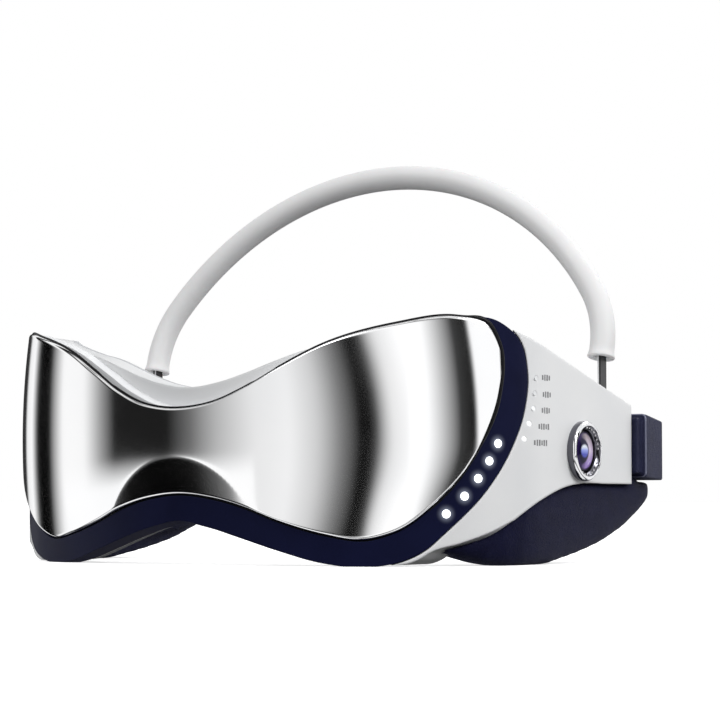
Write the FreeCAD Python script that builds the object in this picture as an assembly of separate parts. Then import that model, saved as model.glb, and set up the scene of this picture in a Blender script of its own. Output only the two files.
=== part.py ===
import FreeCAD, Part
import math
import os

# Eye beauty device: mirrored visor in a navy bezel, white wrap housing, soft face cushion,
# over-head band and one push button. Front faces -Y, height is +Z, millimetres.

# Plan curve of the wrap: one front arc, two corner arcs, straight wings
HALF_WIDTH = 103.5
FRONT_RADIUS = 160.0
CORNER_RADIUS = 50.33
WING_END = 128.0

# Depth of each layer, measured inward from the plan curve
BEZEL_FACE = 0.8
VISOR_BACK = 3.0
BEZEL_BACK = 6.0
HOUSING_WALL = 2.2
FRONT_WALL = 2.5
HOUSING_DEPTH = 16.0
COVER_THICKNESS = 2.0
CUSHION_THICKNESS = 9.0

# Mirrored visor
VISOR_TOP = 81.2
VISOR_DIP = 52.1
VISOR_NOSE_LOW = 23.6
VISOR_LOW = 8.6
VISOR_END_ANGLE = 64.7
VISOR_PEAK = 0.857
VISOR_LOBE = 0.545
VISOR_STEP = 0.5
VISOR_CROWN = 2.2
CROWN_RADIUS = 300.0
FACET_APEX = 36.5
FACET_TILT = 12.5
VISOR_GAP = 0.5

# Navy bezel band
BAND_NOSE_LOW = 14.7
REST_FLAT = 0.3
BAND_END_ANGLE = 79.5
BAND_LIP = 0.3
BAND_GAP = 0.3

# White housing
HOUSING_DIP = 59.3
HOUSING_TOP = 80.8
HOUSING_NOSE_LOW = 15.4
HOUSING_LOW = 0.6
WING_ROOT = 51.0
WING_TOP_FRONT = 76.7
WING_TOP_REAR = 54.7
WING_LOW_FRONT = 9.0
WING_LOW_REAR = 27.2
TAIL_LENGTH = 14.0
TAIL_LOW = 31.5
TAIL_HIGH = 49.5
TAIL_INSET = 2.0

# Face cushion, side skirts and eye windows
SKIRT_INSET = 2.0
SKIRT_AHEAD = 38.0
SKIRT_TAIL = 17.5
SKIRT_ROLL = 3.0
SKIRT_LIP = 1.0
SKIRT_BELLY = 0.45
CUSHION_MARGIN = 1.5
CUSHION_ROUND = 5.4
CUSHION_CHEEK = 5.4
EYE_CENTRE = 40.0
EYE_HEIGHT = 43.0
EYE_WIDTH = 54.0
EYE_TALL = 32.0
EYE_BOW = 3.0
EYE_END_SHARE = 0.75
WINDOW_MARGIN = 3.0
PANEL_CLEARANCE = 0.2
PANEL_RIM = 1.6
PANEL_RIM_THICK = 1.2

# Temple caps
CAP_PROUD = 3.5
CAP_GAP = 0.3
CAP_LENGTH = 17.2
CAP_LOW = 28.6
CAP_HIGH = 52.0
CAP_CORNER = 3.0

# Over-head band
BAND_SETBACK = 12.0
BAND_INSET = 5.2
ARCH_RISE = 69.5
ARCH_SIDE_RADIUS = 38.0
ARCH_LEAN = 14.0
LEAN_START = 2.8
SLEEVE_END = 71.0
SLEEVE_LEG = 4.0
SLEEVE_DIAMETER = 8.8
SLEEVE_SIDES = 12
SLEEVE_ROUND = 1.6
STRIP_THICK = 1.3
STRIP_WIDE = 4.2
STRIP_FIT = 0.35
STRIP_FOOT = 38.0
TOE_WIDE = 7.2
TOE_TALL = 2.0
GUIDE_LOW = 51.0
GUIDE_WALL = 2.2

# Push button on the right wing, charging socket at the same place on the left
BUTTON_BEHIND = 26.9
BUTTON_Z = 38.2
RING_DIAMETER = 20.3
RING_PROUD = 3.2
RING_BORE = 14.6
RING_BARREL = 17.2
RING_BEVEL = 0.8
RING_CONE = 1.3
LENS_FIT = 0.35
LENS_RECESS = 0.9
LENS_DOME = 1.3
LENS_THICK = 1.8
CARRIER_HUB = 0.6
FLANGE_WIDE = 1.1
FLANGE_THICK = 1.2
FLANGE_GAP = 0.4
STEM_DIAMETER = 3.0
STEM_FIT = 0.35
STEM_ENTRY = 0.4
SWITCH_SIDE = 6.2
SWITCH_TALL = 3.2
SWITCH_BORE_DEPTH = 2.2
SOCKET_WIDE = 9.0
SOCKET_TALL = 3.3
SOCKET_DEPTH = 8.0
SOCKET_WALL = 0.35
SOCKET_BACK = 1.0
TONGUE_WIDE = 6.6

# Lamps beside the visor and on the right wing
LAMP_COUNT = 5
BAND_LAMP_DIAMETER = 2.8
BAND_LAMP_LOW = 17.1
BAND_LAMP_PITCH = 5.72
BAND_LAMP_SHARE = 0.58
MODE_LAMP_DIAMETER = 1.5
MODE_LAMP_LOW = 41.6
MODE_LAMP_PITCH = 5.05
MODE_LAMP_OFFSET = 4.3
LAMP_PROUD = 0.25
FLEX_THICK = 0.6
FLEX_BORDER = 2.4

# Boards, battery and motors
BOARD_THICK = 1.2
BOARD_STANDOFF = 2.2
POST_SIDE = 4.0
LIGHT_BOARD_WIDE = 44.0
LIGHT_BOARD_TALL = 22.0
LED_SIDE = 3.2
LED_TALL = 1.0
LED_PITCH = 10.0
MAIN_BOARD_WIDE = 24.0
MAIN_BOARD_TALL = 26.5
CHIP_SIDE = 7.0
CHIP_TALL = 1.4
CHIP_PITCH = 9.1
CONTROL_BOARD_DEPTH = 10.0
CONTROL_BOARD_LONG = 39.0
CONTROL_BOARD_TALL = 23.0
CONTROL_BOARD_AHEAD = 21.5
CONTROL_BOARD_BELOW = 6.7
BOARD_EDGE = 3.2
BATTERY_THICK = 5.5
BATTERY_LONG = 40.0
BATTERY_TALL = 22.0
MOTOR_DIAMETER = 10.0
MOTOR_THICK = 3.4
MOTOR_GAP = 4.0
MOTOR_SEAT = 1.0

V = FreeCAD.Vector
CORNER_X = HALF_WIDTH - CORNER_RADIUS
A1 = math.asin(CORNER_X / (FRONT_RADIUS - CORNER_RADIUS))
CORNER_Y = FRONT_RADIUS - (FRONT_RADIUS - CORNER_RADIUS) * math.cos(A1)
FRONT_HALF_ANGLE = math.degrees(A1)
SKEW = math.radians(45.0)
ACROSS = V(math.cos(SKEW), math.sin(SKEW), 0)
INWARD = V(-math.sin(SKEW), math.cos(SKEW), 0)
COVER_BACK = HOUSING_DEPTH + COVER_THICKNESS
BUTTON_Y = CORNER_Y + BUTTON_BEHIND
SKIRT_START = CORNER_Y - SKIRT_AHEAD
SKIRT_END = WING_END + SKIRT_TAIL
BAND_Y = WING_END - BAND_SETBACK
CAP_START = WING_END + CAP_GAP
VISOR_FACE = BEZEL_FACE - VISOR_STEP - VISOR_CROWN
INNER_FACE = BEZEL_BACK + FRONT_WALL
FACE_X = HALF_WIDTH - BEZEL_FACE
WALL_X = FACE_X - HOUSING_WALL
ARCH_HALF_SPAN = FACE_X - BAND_INSET
FLOOR = -0.25 * HALF_WIDTH
CEILING = 2.0 * HOUSING_TOP
BIG = 2.5 * HALF_WIDTH
LEAD = BEZEL_BACK


def lerp(a, b, t):
    return a + (b - a) * t


# Height read from a table of (position, height) pairs
def table_at(table, position):
    for (x0, z0), (x1, z1) in zip(table, table[1:]):
        if position <= x1:
            return lerp(z0, z1, (position - x0) / (x1 - x0))
    return table[-1][1]


# Point on the plan curve at a turning angle and depth
def plan_point(angle, depth):
    a = math.radians(abs(angle))
    side = 1.0 if angle >= 0 else -1.0
    if a <= A1:
        r = FRONT_RADIUS - depth
        return V(side * r * math.sin(a), FRONT_RADIUS - r * math.cos(a), 0)
    r = CORNER_RADIUS - depth
    return V(side * (CORNER_X + r * math.sin(a)), CORNER_Y - r * math.cos(a), 0)


# Outward direction of the plan curve at a turning angle
def plan_normal(angle):
    a = math.radians(angle)
    return V(math.sin(a), -math.cos(a), 0)


# Distance along the skewed sketch plane for a turning angle, and the angle for a distance
def skew_reach(angle):
    return plan_point(angle, 0.0).dot(ACROSS)


def angle_at(reach):
    low, high = 0.0, 90.0
    for step in range(40):
        mid = (low + high) / 2.0
        if skew_reach(mid) < reach:
            low = mid
        else:
            high = mid
    return (low + high) / 2.0


# Edges of the plan curve at one depth, from the left wing end to the right wing end
def plan_edges(depth, end):
    right = [plan_point(a, depth) for a in (FRONT_HALF_ANGLE, (FRONT_HALF_ANGLE + 90.0) / 2.0, 90.0)]
    left = [V(-p.x, p.y, 0) for p in right]
    tip = V(HALF_WIDTH - depth, end, 0)
    return [
        Part.LineSegment(V(-tip.x, end, 0), left[2]).toShape(),
        Part.Arc(left[2], left[1], left[0]).toShape(),
        Part.Arc(left[0], plan_point(0.0, depth), right[0]).toShape(),
        Part.Arc(right[0], right[1], right[2]).toShape(),
        Part.LineSegment(right[2], tip).toShape(),
    ]


def face_of(edges):
    return Part.Face(Part.Wire(Part.__sortEdges__(edges)))


def line(a, b):
    return Part.LineSegment(a, b).toShape()


# Wrap-shaped slab between two depths
def wrap(depth0, depth1, end):
    outer = plan_edges(depth0, end)
    inner = plan_edges(depth1, end)
    close = [line(outer[0].Vertexes[0].Point, inner[0].Vertexes[0].Point),
             line(outer[-1].Vertexes[1].Point, inner[-1].Vertexes[1].Point)]
    face = face_of(outer + inner + close)
    face.translate(V(0, 0, FLOOR))
    return face.extrude(V(0, 0, CEILING - FLOOR))


def unit(v):
    return v * (1.0 / v.Length)


# Arc from one point, leaving in a direction, to another point
def arc_from(a, direction, b):
    chord = b - a
    along = unit(chord)
    side = direction - along * direction.dot(along)
    if side.Length < 1e-6:
        return line(a, b)
    sagitta = chord.Length / 2.0 * math.tan(direction.getAngle(along) / 2.0)
    return Part.Arc(a, a + chord * 0.5 + unit(side) * sagitta, b).toShape()


# Two arcs that join smoothly between two points with given directions
def biarc(a, leave, b, arrive):
    v = b - a
    both = leave + arrive
    spread = 2.0 * (1.0 - leave.dot(arrive))
    if spread < 1e-9:
        reach = v.dot(v) / (4.0 * v.dot(arrive))
    else:
        reach = (math.sqrt(v.dot(both) ** 2 + spread * v.dot(v)) - v.dot(both)) / spread
    mid = (a + b + (leave - arrive) * reach) * 0.5
    first = arc_from(a, leave, mid)
    last = arc_from(b, arrive * -1.0, mid)
    return [first, last]


# Chain of tangent arcs through points, with given directions at both ends or free
def smooth(points, start=None, finish=None):
    ways = []
    for a, b, c in zip(points, points[1:], points[2:]):
        ways.append(unit(unit(b - a) * (c - b).Length + unit(c - b) * (b - a).Length))
    first = unit(points[1] - points[0])
    last = unit(points[-1] - points[-2])
    start = start or first * (2.0 * first.dot(ways[0])) - ways[0]
    finish = finish or last * (2.0 * last.dot(ways[-1])) - ways[-1]
    ways = [start] + ways + [finish]
    edges = []
    for i in range(len(points) - 1):
        edges = edges + biarc(points[i], ways[i], points[i + 1], ways[i + 1])
    return edges


def box(x0, x1, y0, y1, z0, z1):
    return Part.makeBox(x1 - x0, y1 - y0, z1 - z0, V(x0, y0, z0))


# Prism of a sketch drawn on the skewed plane, kept to the right half
def skew_prism(face):
    sketch = face.copy()
    sketch.translate(INWARD * -HALF_WIDTH)
    solid = sketch.extrude(INWARD * (2.0 * HALF_WIDTH))
    return solid.common(box(0, 2 * BIG, -BIG, BIG, -BIG, BIG))


def on_skew(u, z):
    return V(ACROSS.x * u, ACROSS.y * u, z)


# Closed wave outline on the skewed plane from its three curves
def wave_face(top, end, bottom):
    back = ACROSS * -1.0
    first = [on_skew(u, z) for u, z in top]
    middle = [on_skew(u, z) for u, z in end]
    last = [on_skew(u, z) for u, z in bottom]
    nose_top = on_skew(-LEAD, top[0][1])
    nose_low = on_skew(-LEAD, bottom[-1][1])
    edges = smooth(first, ACROSS, ACROSS) + smooth(middle, ACROSS, back) + smooth(last, back, back)
    return face_of(edges + [line(nose_top, first[0]), line(last[-1], nose_low), line(nose_low, nose_top)])


# Wave shapes as shares of reach and rise, read off the outline of the product
VISOR_TOP_SHAPE = [(0.0, 0.0), (0.1, 0.055), (0.2, 0.223), (0.3, 0.443), (0.437, 0.70), (0.655, 0.917)]
VISOR_END_SHAPE = [(0.957, 0.971), (0.995, 0.88), (0.987, 0.647), (0.946, 0.486), (0.879, 0.317),
                   (0.782, 0.167), (0.653, 0.037)]
VISOR_LOW_SHAPE = [(0.437, 0.113), (0.3, 0.40), (0.2, 0.693), (0.1, 0.907), (0.0, 1.0)]
BAND_END_SHAPE = [(0.903, 0.985), (0.972, 0.913), (1.0, 0.781), (0.987, 0.628), (0.937, 0.467), (0.858, 0.31),
                  (0.75, 0.164), (0.64, 0.045)]
BAND_LOW_SHAPE = [(0.392, 0.088), (0.27, 0.36), (0.179, 0.61), (0.09, 0.85), (0.0, 1.0)]


# Visor outline, grown outward by a margin
def visor_face(grow):
    reach = skew_reach(VISOR_END_ANGLE) + grow
    top_z = VISOR_TOP + grow
    low_z = VISOR_LOW - grow
    top = [(u * reach, lerp(VISOR_DIP + grow, top_z, t)) for u, t in VISOR_TOP_SHAPE]
    peak = (VISOR_PEAK * reach, top_z)
    lobe = (VISOR_LOBE * reach, low_z)
    end = [(u * reach, lerp(low_z, top_z, t)) for u, t in VISOR_END_SHAPE]
    low = [(u * reach, lerp(low_z, VISOR_NOSE_LOW - grow, t)) for u, t in VISOR_LOW_SHAPE]
    return wave_face(top + [peak], [peak] + end + [lobe], [lobe] + low)


# Bezel outline: the visor's wave on top, the band beside and below, grown outward by a margin
def band_face(grow):
    reach = skew_reach(BAND_END_ANGLE) + grow
    low_z = -REST_FLAT - grow
    top_z = VISOR_TOP - BAND_LIP + grow
    visor_reach = skew_reach(VISOR_END_ANGLE)
    top = [(u * visor_reach, lerp(VISOR_DIP - BAND_LIP + grow, top_z, t)) for u, t in VISOR_TOP_SHAPE]
    peak = (VISOR_PEAK * visor_reach, top_z)
    lobe = (VISOR_LOBE * visor_reach, low_z)
    end = [(u * reach, lerp(low_z, top_z, t)) for u, t in BAND_END_SHAPE]
    low = [(u * reach, lerp(low_z, BAND_NOSE_LOW - grow, t)) for u, t in BAND_LOW_SHAPE]
    return wave_face(top + [peak], [peak] + end + [lobe], [lobe] + low)


# Open space above an outline, out to a share of a reach
def above_face(low_z, reach):
    pts = [on_skew(-LEAD, low_z), on_skew(reach, low_z), on_skew(reach, CEILING), on_skew(-LEAD, CEILING)]
    return Part.Face(Part.makePolygon(pts + [pts[0]]))


# Reach of an outline's end curve at a height, below its widest point
def end_reach(shape, reach, low_z, top_z, z):
    table = sorted((lerp(low_z, top_z, t), u * reach) for u, t in shape)
    return table_at(table, z)


def mirrored(shape):
    return shape.mirror(V(0, 0, 0), V(1, 0, 0))


def both_sides(half):
    return half.fuse(mirrored(half)).removeSplitter()


def solid_of(shape):
    return max(shape.Solids, key=lambda s: s.Volume)


# Part made at the nose, turned about the front arc centre
def turned(shape, angle):
    out = shape.copy()
    out.rotate(V(0, FRONT_RADIUS, 0), V(0, 0, 1), angle)
    return out


# Rod along the outward direction of the plan curve
def plan_rod(angle, z, diameter, depth0, depth1):
    base = plan_point(angle, depth1)
    base.z = z
    return Part.makeCylinder(diameter / 2.0, depth1 - depth0, base, plan_normal(angle))


# Rod along X between two positions
def x_rod(diameter, x0, x1, y, z):
    return Part.makeCylinder(diameter / 2.0, x1 - x0, V(x0, y, z), V(1, 0, 0))


HOUSING_TOP_SHAPE = [(0.0, 0.0), (0.126, 0.08), (0.21, 0.195), (0.31, 0.367), (0.406, 0.52), (0.52, 0.637),
                     (0.64, 0.777), (0.773, 0.94), (0.89, 1.0), (1.06, 1.0)]
HOUSING_LOW_SHAPE = [(0.0, 1.0), (0.094, 0.92), (0.184, 0.757), (0.28, 0.553), (0.367, 0.365), (0.454, 0.19),
                     (0.55, 0.04), (0.64, 0.0), (0.77, 0.1), (0.81, 0.3), (0.88, 0.49), (0.933, 0.71),
                     (0.974, 1.0), (1.06, 1.4)]
WING_LOW_SHAPE = [(0.28, -1.0), (0.33, 0.0), (0.37, 0.25), (0.45, 0.57), (0.54, 0.79), (0.625, 0.935),
                  (0.71, 1.0), (0.83, 1.0)]
SKIRT_SHAPE = [(0.0, 0.155), (0.142, 0.013), (0.268, 0.0), (0.385, 0.011), (0.485, 0.11), (0.628, 0.24),
               (0.757, 0.357), (0.875, 0.503), (0.954, 0.655), (1.0, 0.80)]
housing_tops = [(f * HALF_WIDTH, lerp(HOUSING_DIP, HOUSING_TOP, t)) for f, t in HOUSING_TOP_SHAPE]
housing_lows = [(f * HALF_WIDTH, lerp(HOUSING_LOW, HOUSING_NOSE_LOW, t)) for f, t in HOUSING_LOW_SHAPE]
skirt_lows = [(lerp(SKIRT_START, SKIRT_END, f), lerp(-REST_FLAT, WING_LOW_REAR, t)) for f, t in SKIRT_SHAPE]


# Front outline of the housing and the pieces behind it, inset all round
def front_prism(inset):
    top = [V(x, 0, z - inset) for x, z in housing_tops]
    bottom = [V(x, 0, z + inset) for x, z in housing_lows]
    top = [V(-p.x, 0, p.z) for p in reversed(top[1:])] + top
    bottom = [V(-p.x, 0, p.z) for p in reversed(bottom[1:])] + bottom
    face = face_of(smooth(top) + smooth(bottom) + [line(top[-1], bottom[-1]), line(bottom[0], top[0])])
    face.translate(V(0, -BIG, 0))
    return face.extrude(V(0, 2 * BIG, 0))


WING_SLOPE = (WING_TOP_REAR - WING_TOP_FRONT) / (WING_END - WING_ROOT)


def wing_top_at(y):
    return WING_TOP_FRONT + WING_SLOPE * (y - WING_ROOT)


# Side outline of the wings, inset all round
def side_prism(inset):
    rear = WING_END - inset
    drop = inset * math.hypot(1.0, WING_SLOPE)
    lead = V(0, WING_ROOT + (CEILING - WING_TOP_FRONT) / WING_SLOPE, CEILING - drop)
    low = [V(0, f * WING_END, lerp(WING_LOW_FRONT, WING_LOW_REAR, t) + inset) for f, t in WING_LOW_SHAPE]
    rear_low = V(0, rear, WING_LOW_REAR + inset)
    rear_top = V(0, rear, wing_top_at(rear) - drop)
    ahead_low = V(0, -BIG, low[0].z)
    ahead_top = V(0, -BIG, lead.z)
    edges = smooth(low) + [line(ahead_low, low[0]), line(low[-1], rear_low), line(rear_low, rear_top)]
    if lead.y > -BIG:
        edges = edges + [line(rear_top, lead), line(lead, ahead_top), line(ahead_top, ahead_low)]
    else:
        edges = edges + [line(rear_top, lead), line(lead, ahead_low)]
    face = face_of(edges)
    face.translate(V(-BIG, 0, 0))
    return face.extrude(V(2 * BIG, 0, 0))


nodes = {}
below_table = box(-BIG, BIG, -BIG, BIG, -BIG, 0)

# Mirrored visor: barrel-curved plate cut to the wave outline, with a flat facet over the nose
mid_z = (VISOR_TOP + VISOR_LOW) / 2.0
half_tall = VISOR_TOP - mid_z + LEAD
edge_d = VISOR_FACE + half_tall ** 2 / (2.0 * CROWN_RADIUS)
bow = [V(0, edge_d, mid_z - half_tall), V(0, VISOR_FACE, mid_z), V(0, edge_d, mid_z + half_tall)]
rear_d = edge_d + BEZEL_BACK
profile = face_of([Part.Arc(*bow).toShape(), line(bow[2], V(0, rear_d, bow[2].z)),
                   line(V(0, rear_d, bow[2].z), V(0, rear_d, bow[0].z)), line(V(0, rear_d, bow[0].z), bow[0])])
front_part = profile.revolve(V(0, FRONT_RADIUS, 0), V(0, 0, 1), FRONT_HALF_ANGLE)
corner_part = turned(profile, FRONT_HALF_ANGLE)
corner_part = corner_part.revolve(V(CORNER_X, CORNER_Y, 0), V(0, 0, 1), 90.0 - FRONT_HALF_ANGLE)
barrel = front_part.fuse(corner_part).cut(wrap(VISOR_BACK, COVER_BACK, WING_END))
visor_half = solid_of(barrel.common(skew_prism(visor_face(0.0))))
facet_depth = VISOR_FACE + (FACET_APEX - mid_z) ** 2 / (2.0 * CROWN_RADIUS)
facet = box(-BIG, BIG, -BIG, 0, -BIG, 0)
facet.rotate(V(0, 0, 0), V(1, 0, 0), FACET_TILT)
facet.translate(V(0, facet_depth, FACET_APEX))
nodes["front_visor"] = solid_of(both_sides(visor_half).cut(facet))

# Bezel: navy tray that carries the visor in a pocket and shows as the band below and beside it
bezel_half = wrap(BEZEL_FACE, BEZEL_BACK, WING_END).common(skew_prism(band_face(0.0)))
visor_slab = wrap(VISOR_FACE - LEAD, VISOR_BACK, WING_END)
visor_peak = VISOR_PEAK * skew_reach(VISOR_END_ANGLE)
pocket = visor_slab.common(skew_prism(visor_face(VISOR_GAP)))
pocket_top = visor_slab.common(skew_prism(above_face(VISOR_DIP, visor_peak)))
bezel = solid_of(both_sides(bezel_half.cut(pocket).cut(pocket_top)))
bezel = bezel.cut(below_table)

# Row of lamps in the right side of the band
visor_reach = skew_reach(VISOR_END_ANGLE)
band_reach = skew_reach(BAND_END_ANGLE)
band_top = VISOR_TOP - BAND_LIP
band_lamps = []
mode_lamps = []
for i in range(LAMP_COUNT):
    z = BAND_LAMP_LOW + i * BAND_LAMP_PITCH
    inner = end_reach(VISOR_END_SHAPE, visor_reach, VISOR_LOW, VISOR_TOP, z)
    outer = end_reach(BAND_END_SHAPE, band_reach, -REST_FLAT, band_top, z)
    band_lamps.append((angle_at(lerp(inner, outer, BAND_LAMP_SHARE)), z))
    z = MODE_LAMP_LOW + i * MODE_LAMP_PITCH
    outer = end_reach(BAND_END_SHAPE, band_reach, -REST_FLAT, band_top, z)
    mode_lamps.append((angle_at(outer + MODE_LAMP_OFFSET), z))
lamp_face = BEZEL_FACE - LAMP_PROUD
lamp_slab = wrap(lamp_face, INNER_FACE, WING_END)


# Light pipe run parallel to the side wall of the band
def light_pipe(angle, z):
    start = plan_point(angle, BEZEL_FACE) - INWARD * LEAD
    start.z = z
    return solid_of(Part.makeCylinder(MODE_LAMP_DIAMETER / 2.0, 4.0 * LEAD, start, INWARD).common(lamp_slab))


# Point where a light pipe comes out on the inner face of the front wall
def pipe_end(angle):
    start = plan_point(angle, BEZEL_FACE)
    near, far = 0.0, 4.0 * LEAD
    for step in range(40):
        mid = (near + far) / 2.0
        spot = start + INWARD * mid
        depth = CORNER_RADIUS - math.hypot(spot.x - CORNER_X, spot.y - CORNER_Y)
        if spot.y > CORNER_Y:
            depth = HALF_WIDTH - spot.x
        if depth < INNER_FACE:
            near = mid
        else:
            far = mid
    return start + INWARD * near


lamp_set = Part.makeCompound([plan_rod(a, z, BAND_LAMP_DIAMETER, lamp_face, INNER_FACE) for a, z in band_lamps])
mode_set = Part.makeCompound([light_pipe(a, z) for a, z in mode_lamps])
nodes["bezel_frame"] = solid_of(bezel.cut(lamp_set))
nodes["band_lamps"] = lamp_set
nodes["mode_lamps"] = mode_set

# White housing: front dish and two hollow wings in one moulding
outline = front_prism(0.0).common(side_prism(0.0))
front_slab = wrap(VISOR_FACE - LEAD, BEZEL_BACK, WING_END)
front_zone = front_slab.common(skew_prism(band_face(BAND_GAP)))
front_zone = front_zone.fuse(front_slab.common(skew_prism(above_face(VISOR_DIP, visor_peak))))
envelope = wrap(BEZEL_FACE, HOUSING_DEPTH, WING_END + LEAD).common(outline)
envelope = solid_of(envelope.cut(front_zone).cut(mirrored(front_zone)))
inner_outline = front_prism(HOUSING_WALL).common(side_prism(HOUSING_WALL))
front_cavity = wrap(INNER_FACE, COVER_BACK, WING_END).common(inner_outline)
wing_room = box(-BIG, BIG, CORNER_Y + LEAD, BIG, FLOOR, CEILING)
wing_cavity = wrap(BEZEL_FACE + HOUSING_WALL, COVER_BACK, WING_END).common(inner_outline).common(wing_room)
tail = box(HALF_WIDTH - HOUSING_DEPTH + TAIL_INSET, FACE_X - TAIL_INSET, WING_END - HOUSING_WALL,
           WING_END + TAIL_LENGTH, TAIL_LOW, TAIL_HIGH)
housing = envelope.cut(front_cavity).cut(wing_cavity)
housing = housing.fuse(tail).fuse(mirrored(tail))

# Boards stand on square posts of the walls, flat across the curve
eye_angle = math.degrees(math.asin(EYE_CENTRE / (FRONT_RADIUS - INNER_FACE)))
board_near = INNER_FACE + BOARD_STANDOFF
board_far = board_near + BOARD_THICK
post_room = wrap(BEZEL_BACK + FRONT_WALL / 2.0, COVER_BACK, WING_END)
half_post = POST_SIDE / 2.0


# Square post at the nose, from inside the front wall to a depth
def front_post(x, z, depth):
    post = box(x - half_post, x + half_post, 0, depth, z - half_post, z + half_post)
    return post.common(post_room)


posts = []
for x in (BOARD_EDGE - LIGHT_BOARD_WIDE / 2.0, LIGHT_BOARD_WIDE / 2.0 - BOARD_EDGE):
    post = front_post(x, EYE_HEIGHT, board_near)
    posts = posts + [turned(post, eye_angle), turned(post, -eye_angle)]
main_z = (HOUSING_DIP + HOUSING_NOSE_LOW) / 2.0
for z in (BOARD_EDGE - MAIN_BOARD_TALL / 2.0, MAIN_BOARD_TALL / 2.0 - BOARD_EDGE):
    posts.append(front_post(0.0, main_z + z, board_near))
control_x = HALF_WIDTH - CONTROL_BOARD_DEPTH
control_y = (BUTTON_Y - CONTROL_BOARD_AHEAD, BUTTON_Y - CONTROL_BOARD_AHEAD + CONTROL_BOARD_LONG)
control_z = (BUTTON_Z - CONTROL_BOARD_BELOW, BUTTON_Z - CONTROL_BOARD_BELOW + CONTROL_BOARD_TALL)
control_spots = [(control_y[0] + BOARD_EDGE, control_z[0] + BOARD_EDGE),
                 (control_y[0] + BOARD_EDGE, control_z[1] - BOARD_EDGE),
                 (control_y[1] - BOARD_EDGE, control_z[0] + BOARD_EDGE)]
for y, z in control_spots:
    posts.append(box(control_x, WALL_X + HOUSING_WALL / 2.0, y - half_post, y + half_post,
                     z - half_post, z + half_post))
motor_near = INNER_FACE + MOTOR_SEAT
motor_reach = LIGHT_BOARD_WIDE / 2.0 + MOTOR_GAP + MOTOR_DIAMETER / 2.0
motor_angle = eye_angle + math.degrees(motor_reach / (FRONT_RADIUS - board_far))
for angle in (-motor_angle, motor_angle):
    posts.append(plan_rod(angle, EYE_HEIGHT, POST_SIDE, BEZEL_BACK + FRONT_WALL / 2.0, motor_near))
for post in posts:
    housing = housing.fuse(post)

# Openings of the housing: lamps, button, charging socket, band strips
housing = housing.cut(lamp_set).cut(mode_set)
housing = housing.cut(x_rod(RING_BARREL, WALL_X - LEAD, FACE_X + LEAD, BUTTON_Y, BUTTON_Z))
half_w = SOCKET_WIDE / 2.0
half_t = SOCKET_TALL / 2.0
housing = housing.cut(box(-FACE_X - LEAD, LEAD - WALL_X, BUTTON_Y - half_w, BUTTON_Y + half_w,
                          BUTTON_Z - half_t, BUTTON_Z + half_t))
slot_x = STRIP_THICK / 2.0 + STRIP_FIT
slot_y = STRIP_WIDE / 2.0 + STRIP_FIT
slot = box(ARCH_HALF_SPAN - slot_x, ARCH_HALF_SPAN + slot_x, BAND_Y - slot_y, BAND_Y + slot_y,
           GUIDE_LOW, CEILING)
housing = housing.cut(slot).cut(mirrored(slot))
nodes["wrap_housing"] = solid_of(housing.removeSplitter())


# Oval rod through the eye window, grown by a margin: two end arcs and two shallow long arcs
def eye_rod(margin, side):
    half_wide = EYE_WIDTH / 2.0 + margin
    half_tall = EYE_TALL / 2.0 + margin
    inset = half_wide - half_tall * EYE_END_SHARE
    rim = half_tall - EYE_BOW
    pts = [V(-inset, 0, rim), V(0, 0, half_tall), V(inset, 0, rim), V(half_wide, 0, 0), V(inset, 0, -rim),
           V(0, 0, -half_tall), V(-inset, 0, -rim), V(-half_wide, 0, 0), V(-inset, 0, rim)]
    face = face_of([Part.Arc(*pts[i:i + 3]).toShape() for i in (0, 2, 4, 6)])
    face.translate(V(side * EYE_CENTRE, CORNER_Y, EYE_HEIGHT))
    return face.extrude(V(0, -BIG, 0))


# Inner cover closing the housing toward the face, with two stepped light panels
cover = solid_of(wrap(HOUSING_DEPTH, COVER_BACK, WING_END + LEAD).common(outline))
for side, name in ((-1.0, "left"), (1.0, "right")):
    cover = cover.cut(eye_rod(0.0, side))
    lens = wrap(HOUSING_DEPTH, COVER_BACK - PANEL_CLEARANCE, WING_END).common(eye_rod(-PANEL_CLEARANCE, side))
    rim = wrap(HOUSING_DEPTH - PANEL_RIM_THICK, HOUSING_DEPTH, WING_END).common(eye_rod(PANEL_RIM, side))
    nodes["light_panel_" + name] = solid_of(lens.fuse(rim).removeSplitter())
nodes["inner_cover"] = cover
skirt_top = WING_LOW_REAR + SKIRT_LIP


# Rolled lower edge of a skirt: shares of its roll and of its belly height
SKIRT_EDGE = ((0.0, 1.0), (0.1, 0.5), (0.38, 0.16), (1.0, 0.0))


# Cross-section of a skirt: outer face rolling under to the lower edge
def skirt_section(edge, inward, low):
    def at(depth, z):
        p = edge + inward * depth
        return V(p.x, p.y, z)
    belly = lerp(low, skirt_top, SKIRT_BELLY)
    roll = [at(SKIRT_INSET + SKIRT_ROLL * d, lerp(low, belly, z)) for d, z in SKIRT_EDGE]
    pts = [at(SKIRT_INSET, skirt_top)] + roll + [at(COVER_BACK, low), at(COVER_BACK, skirt_top)]
    return Part.makePolygon(pts + [pts[0]])


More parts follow.
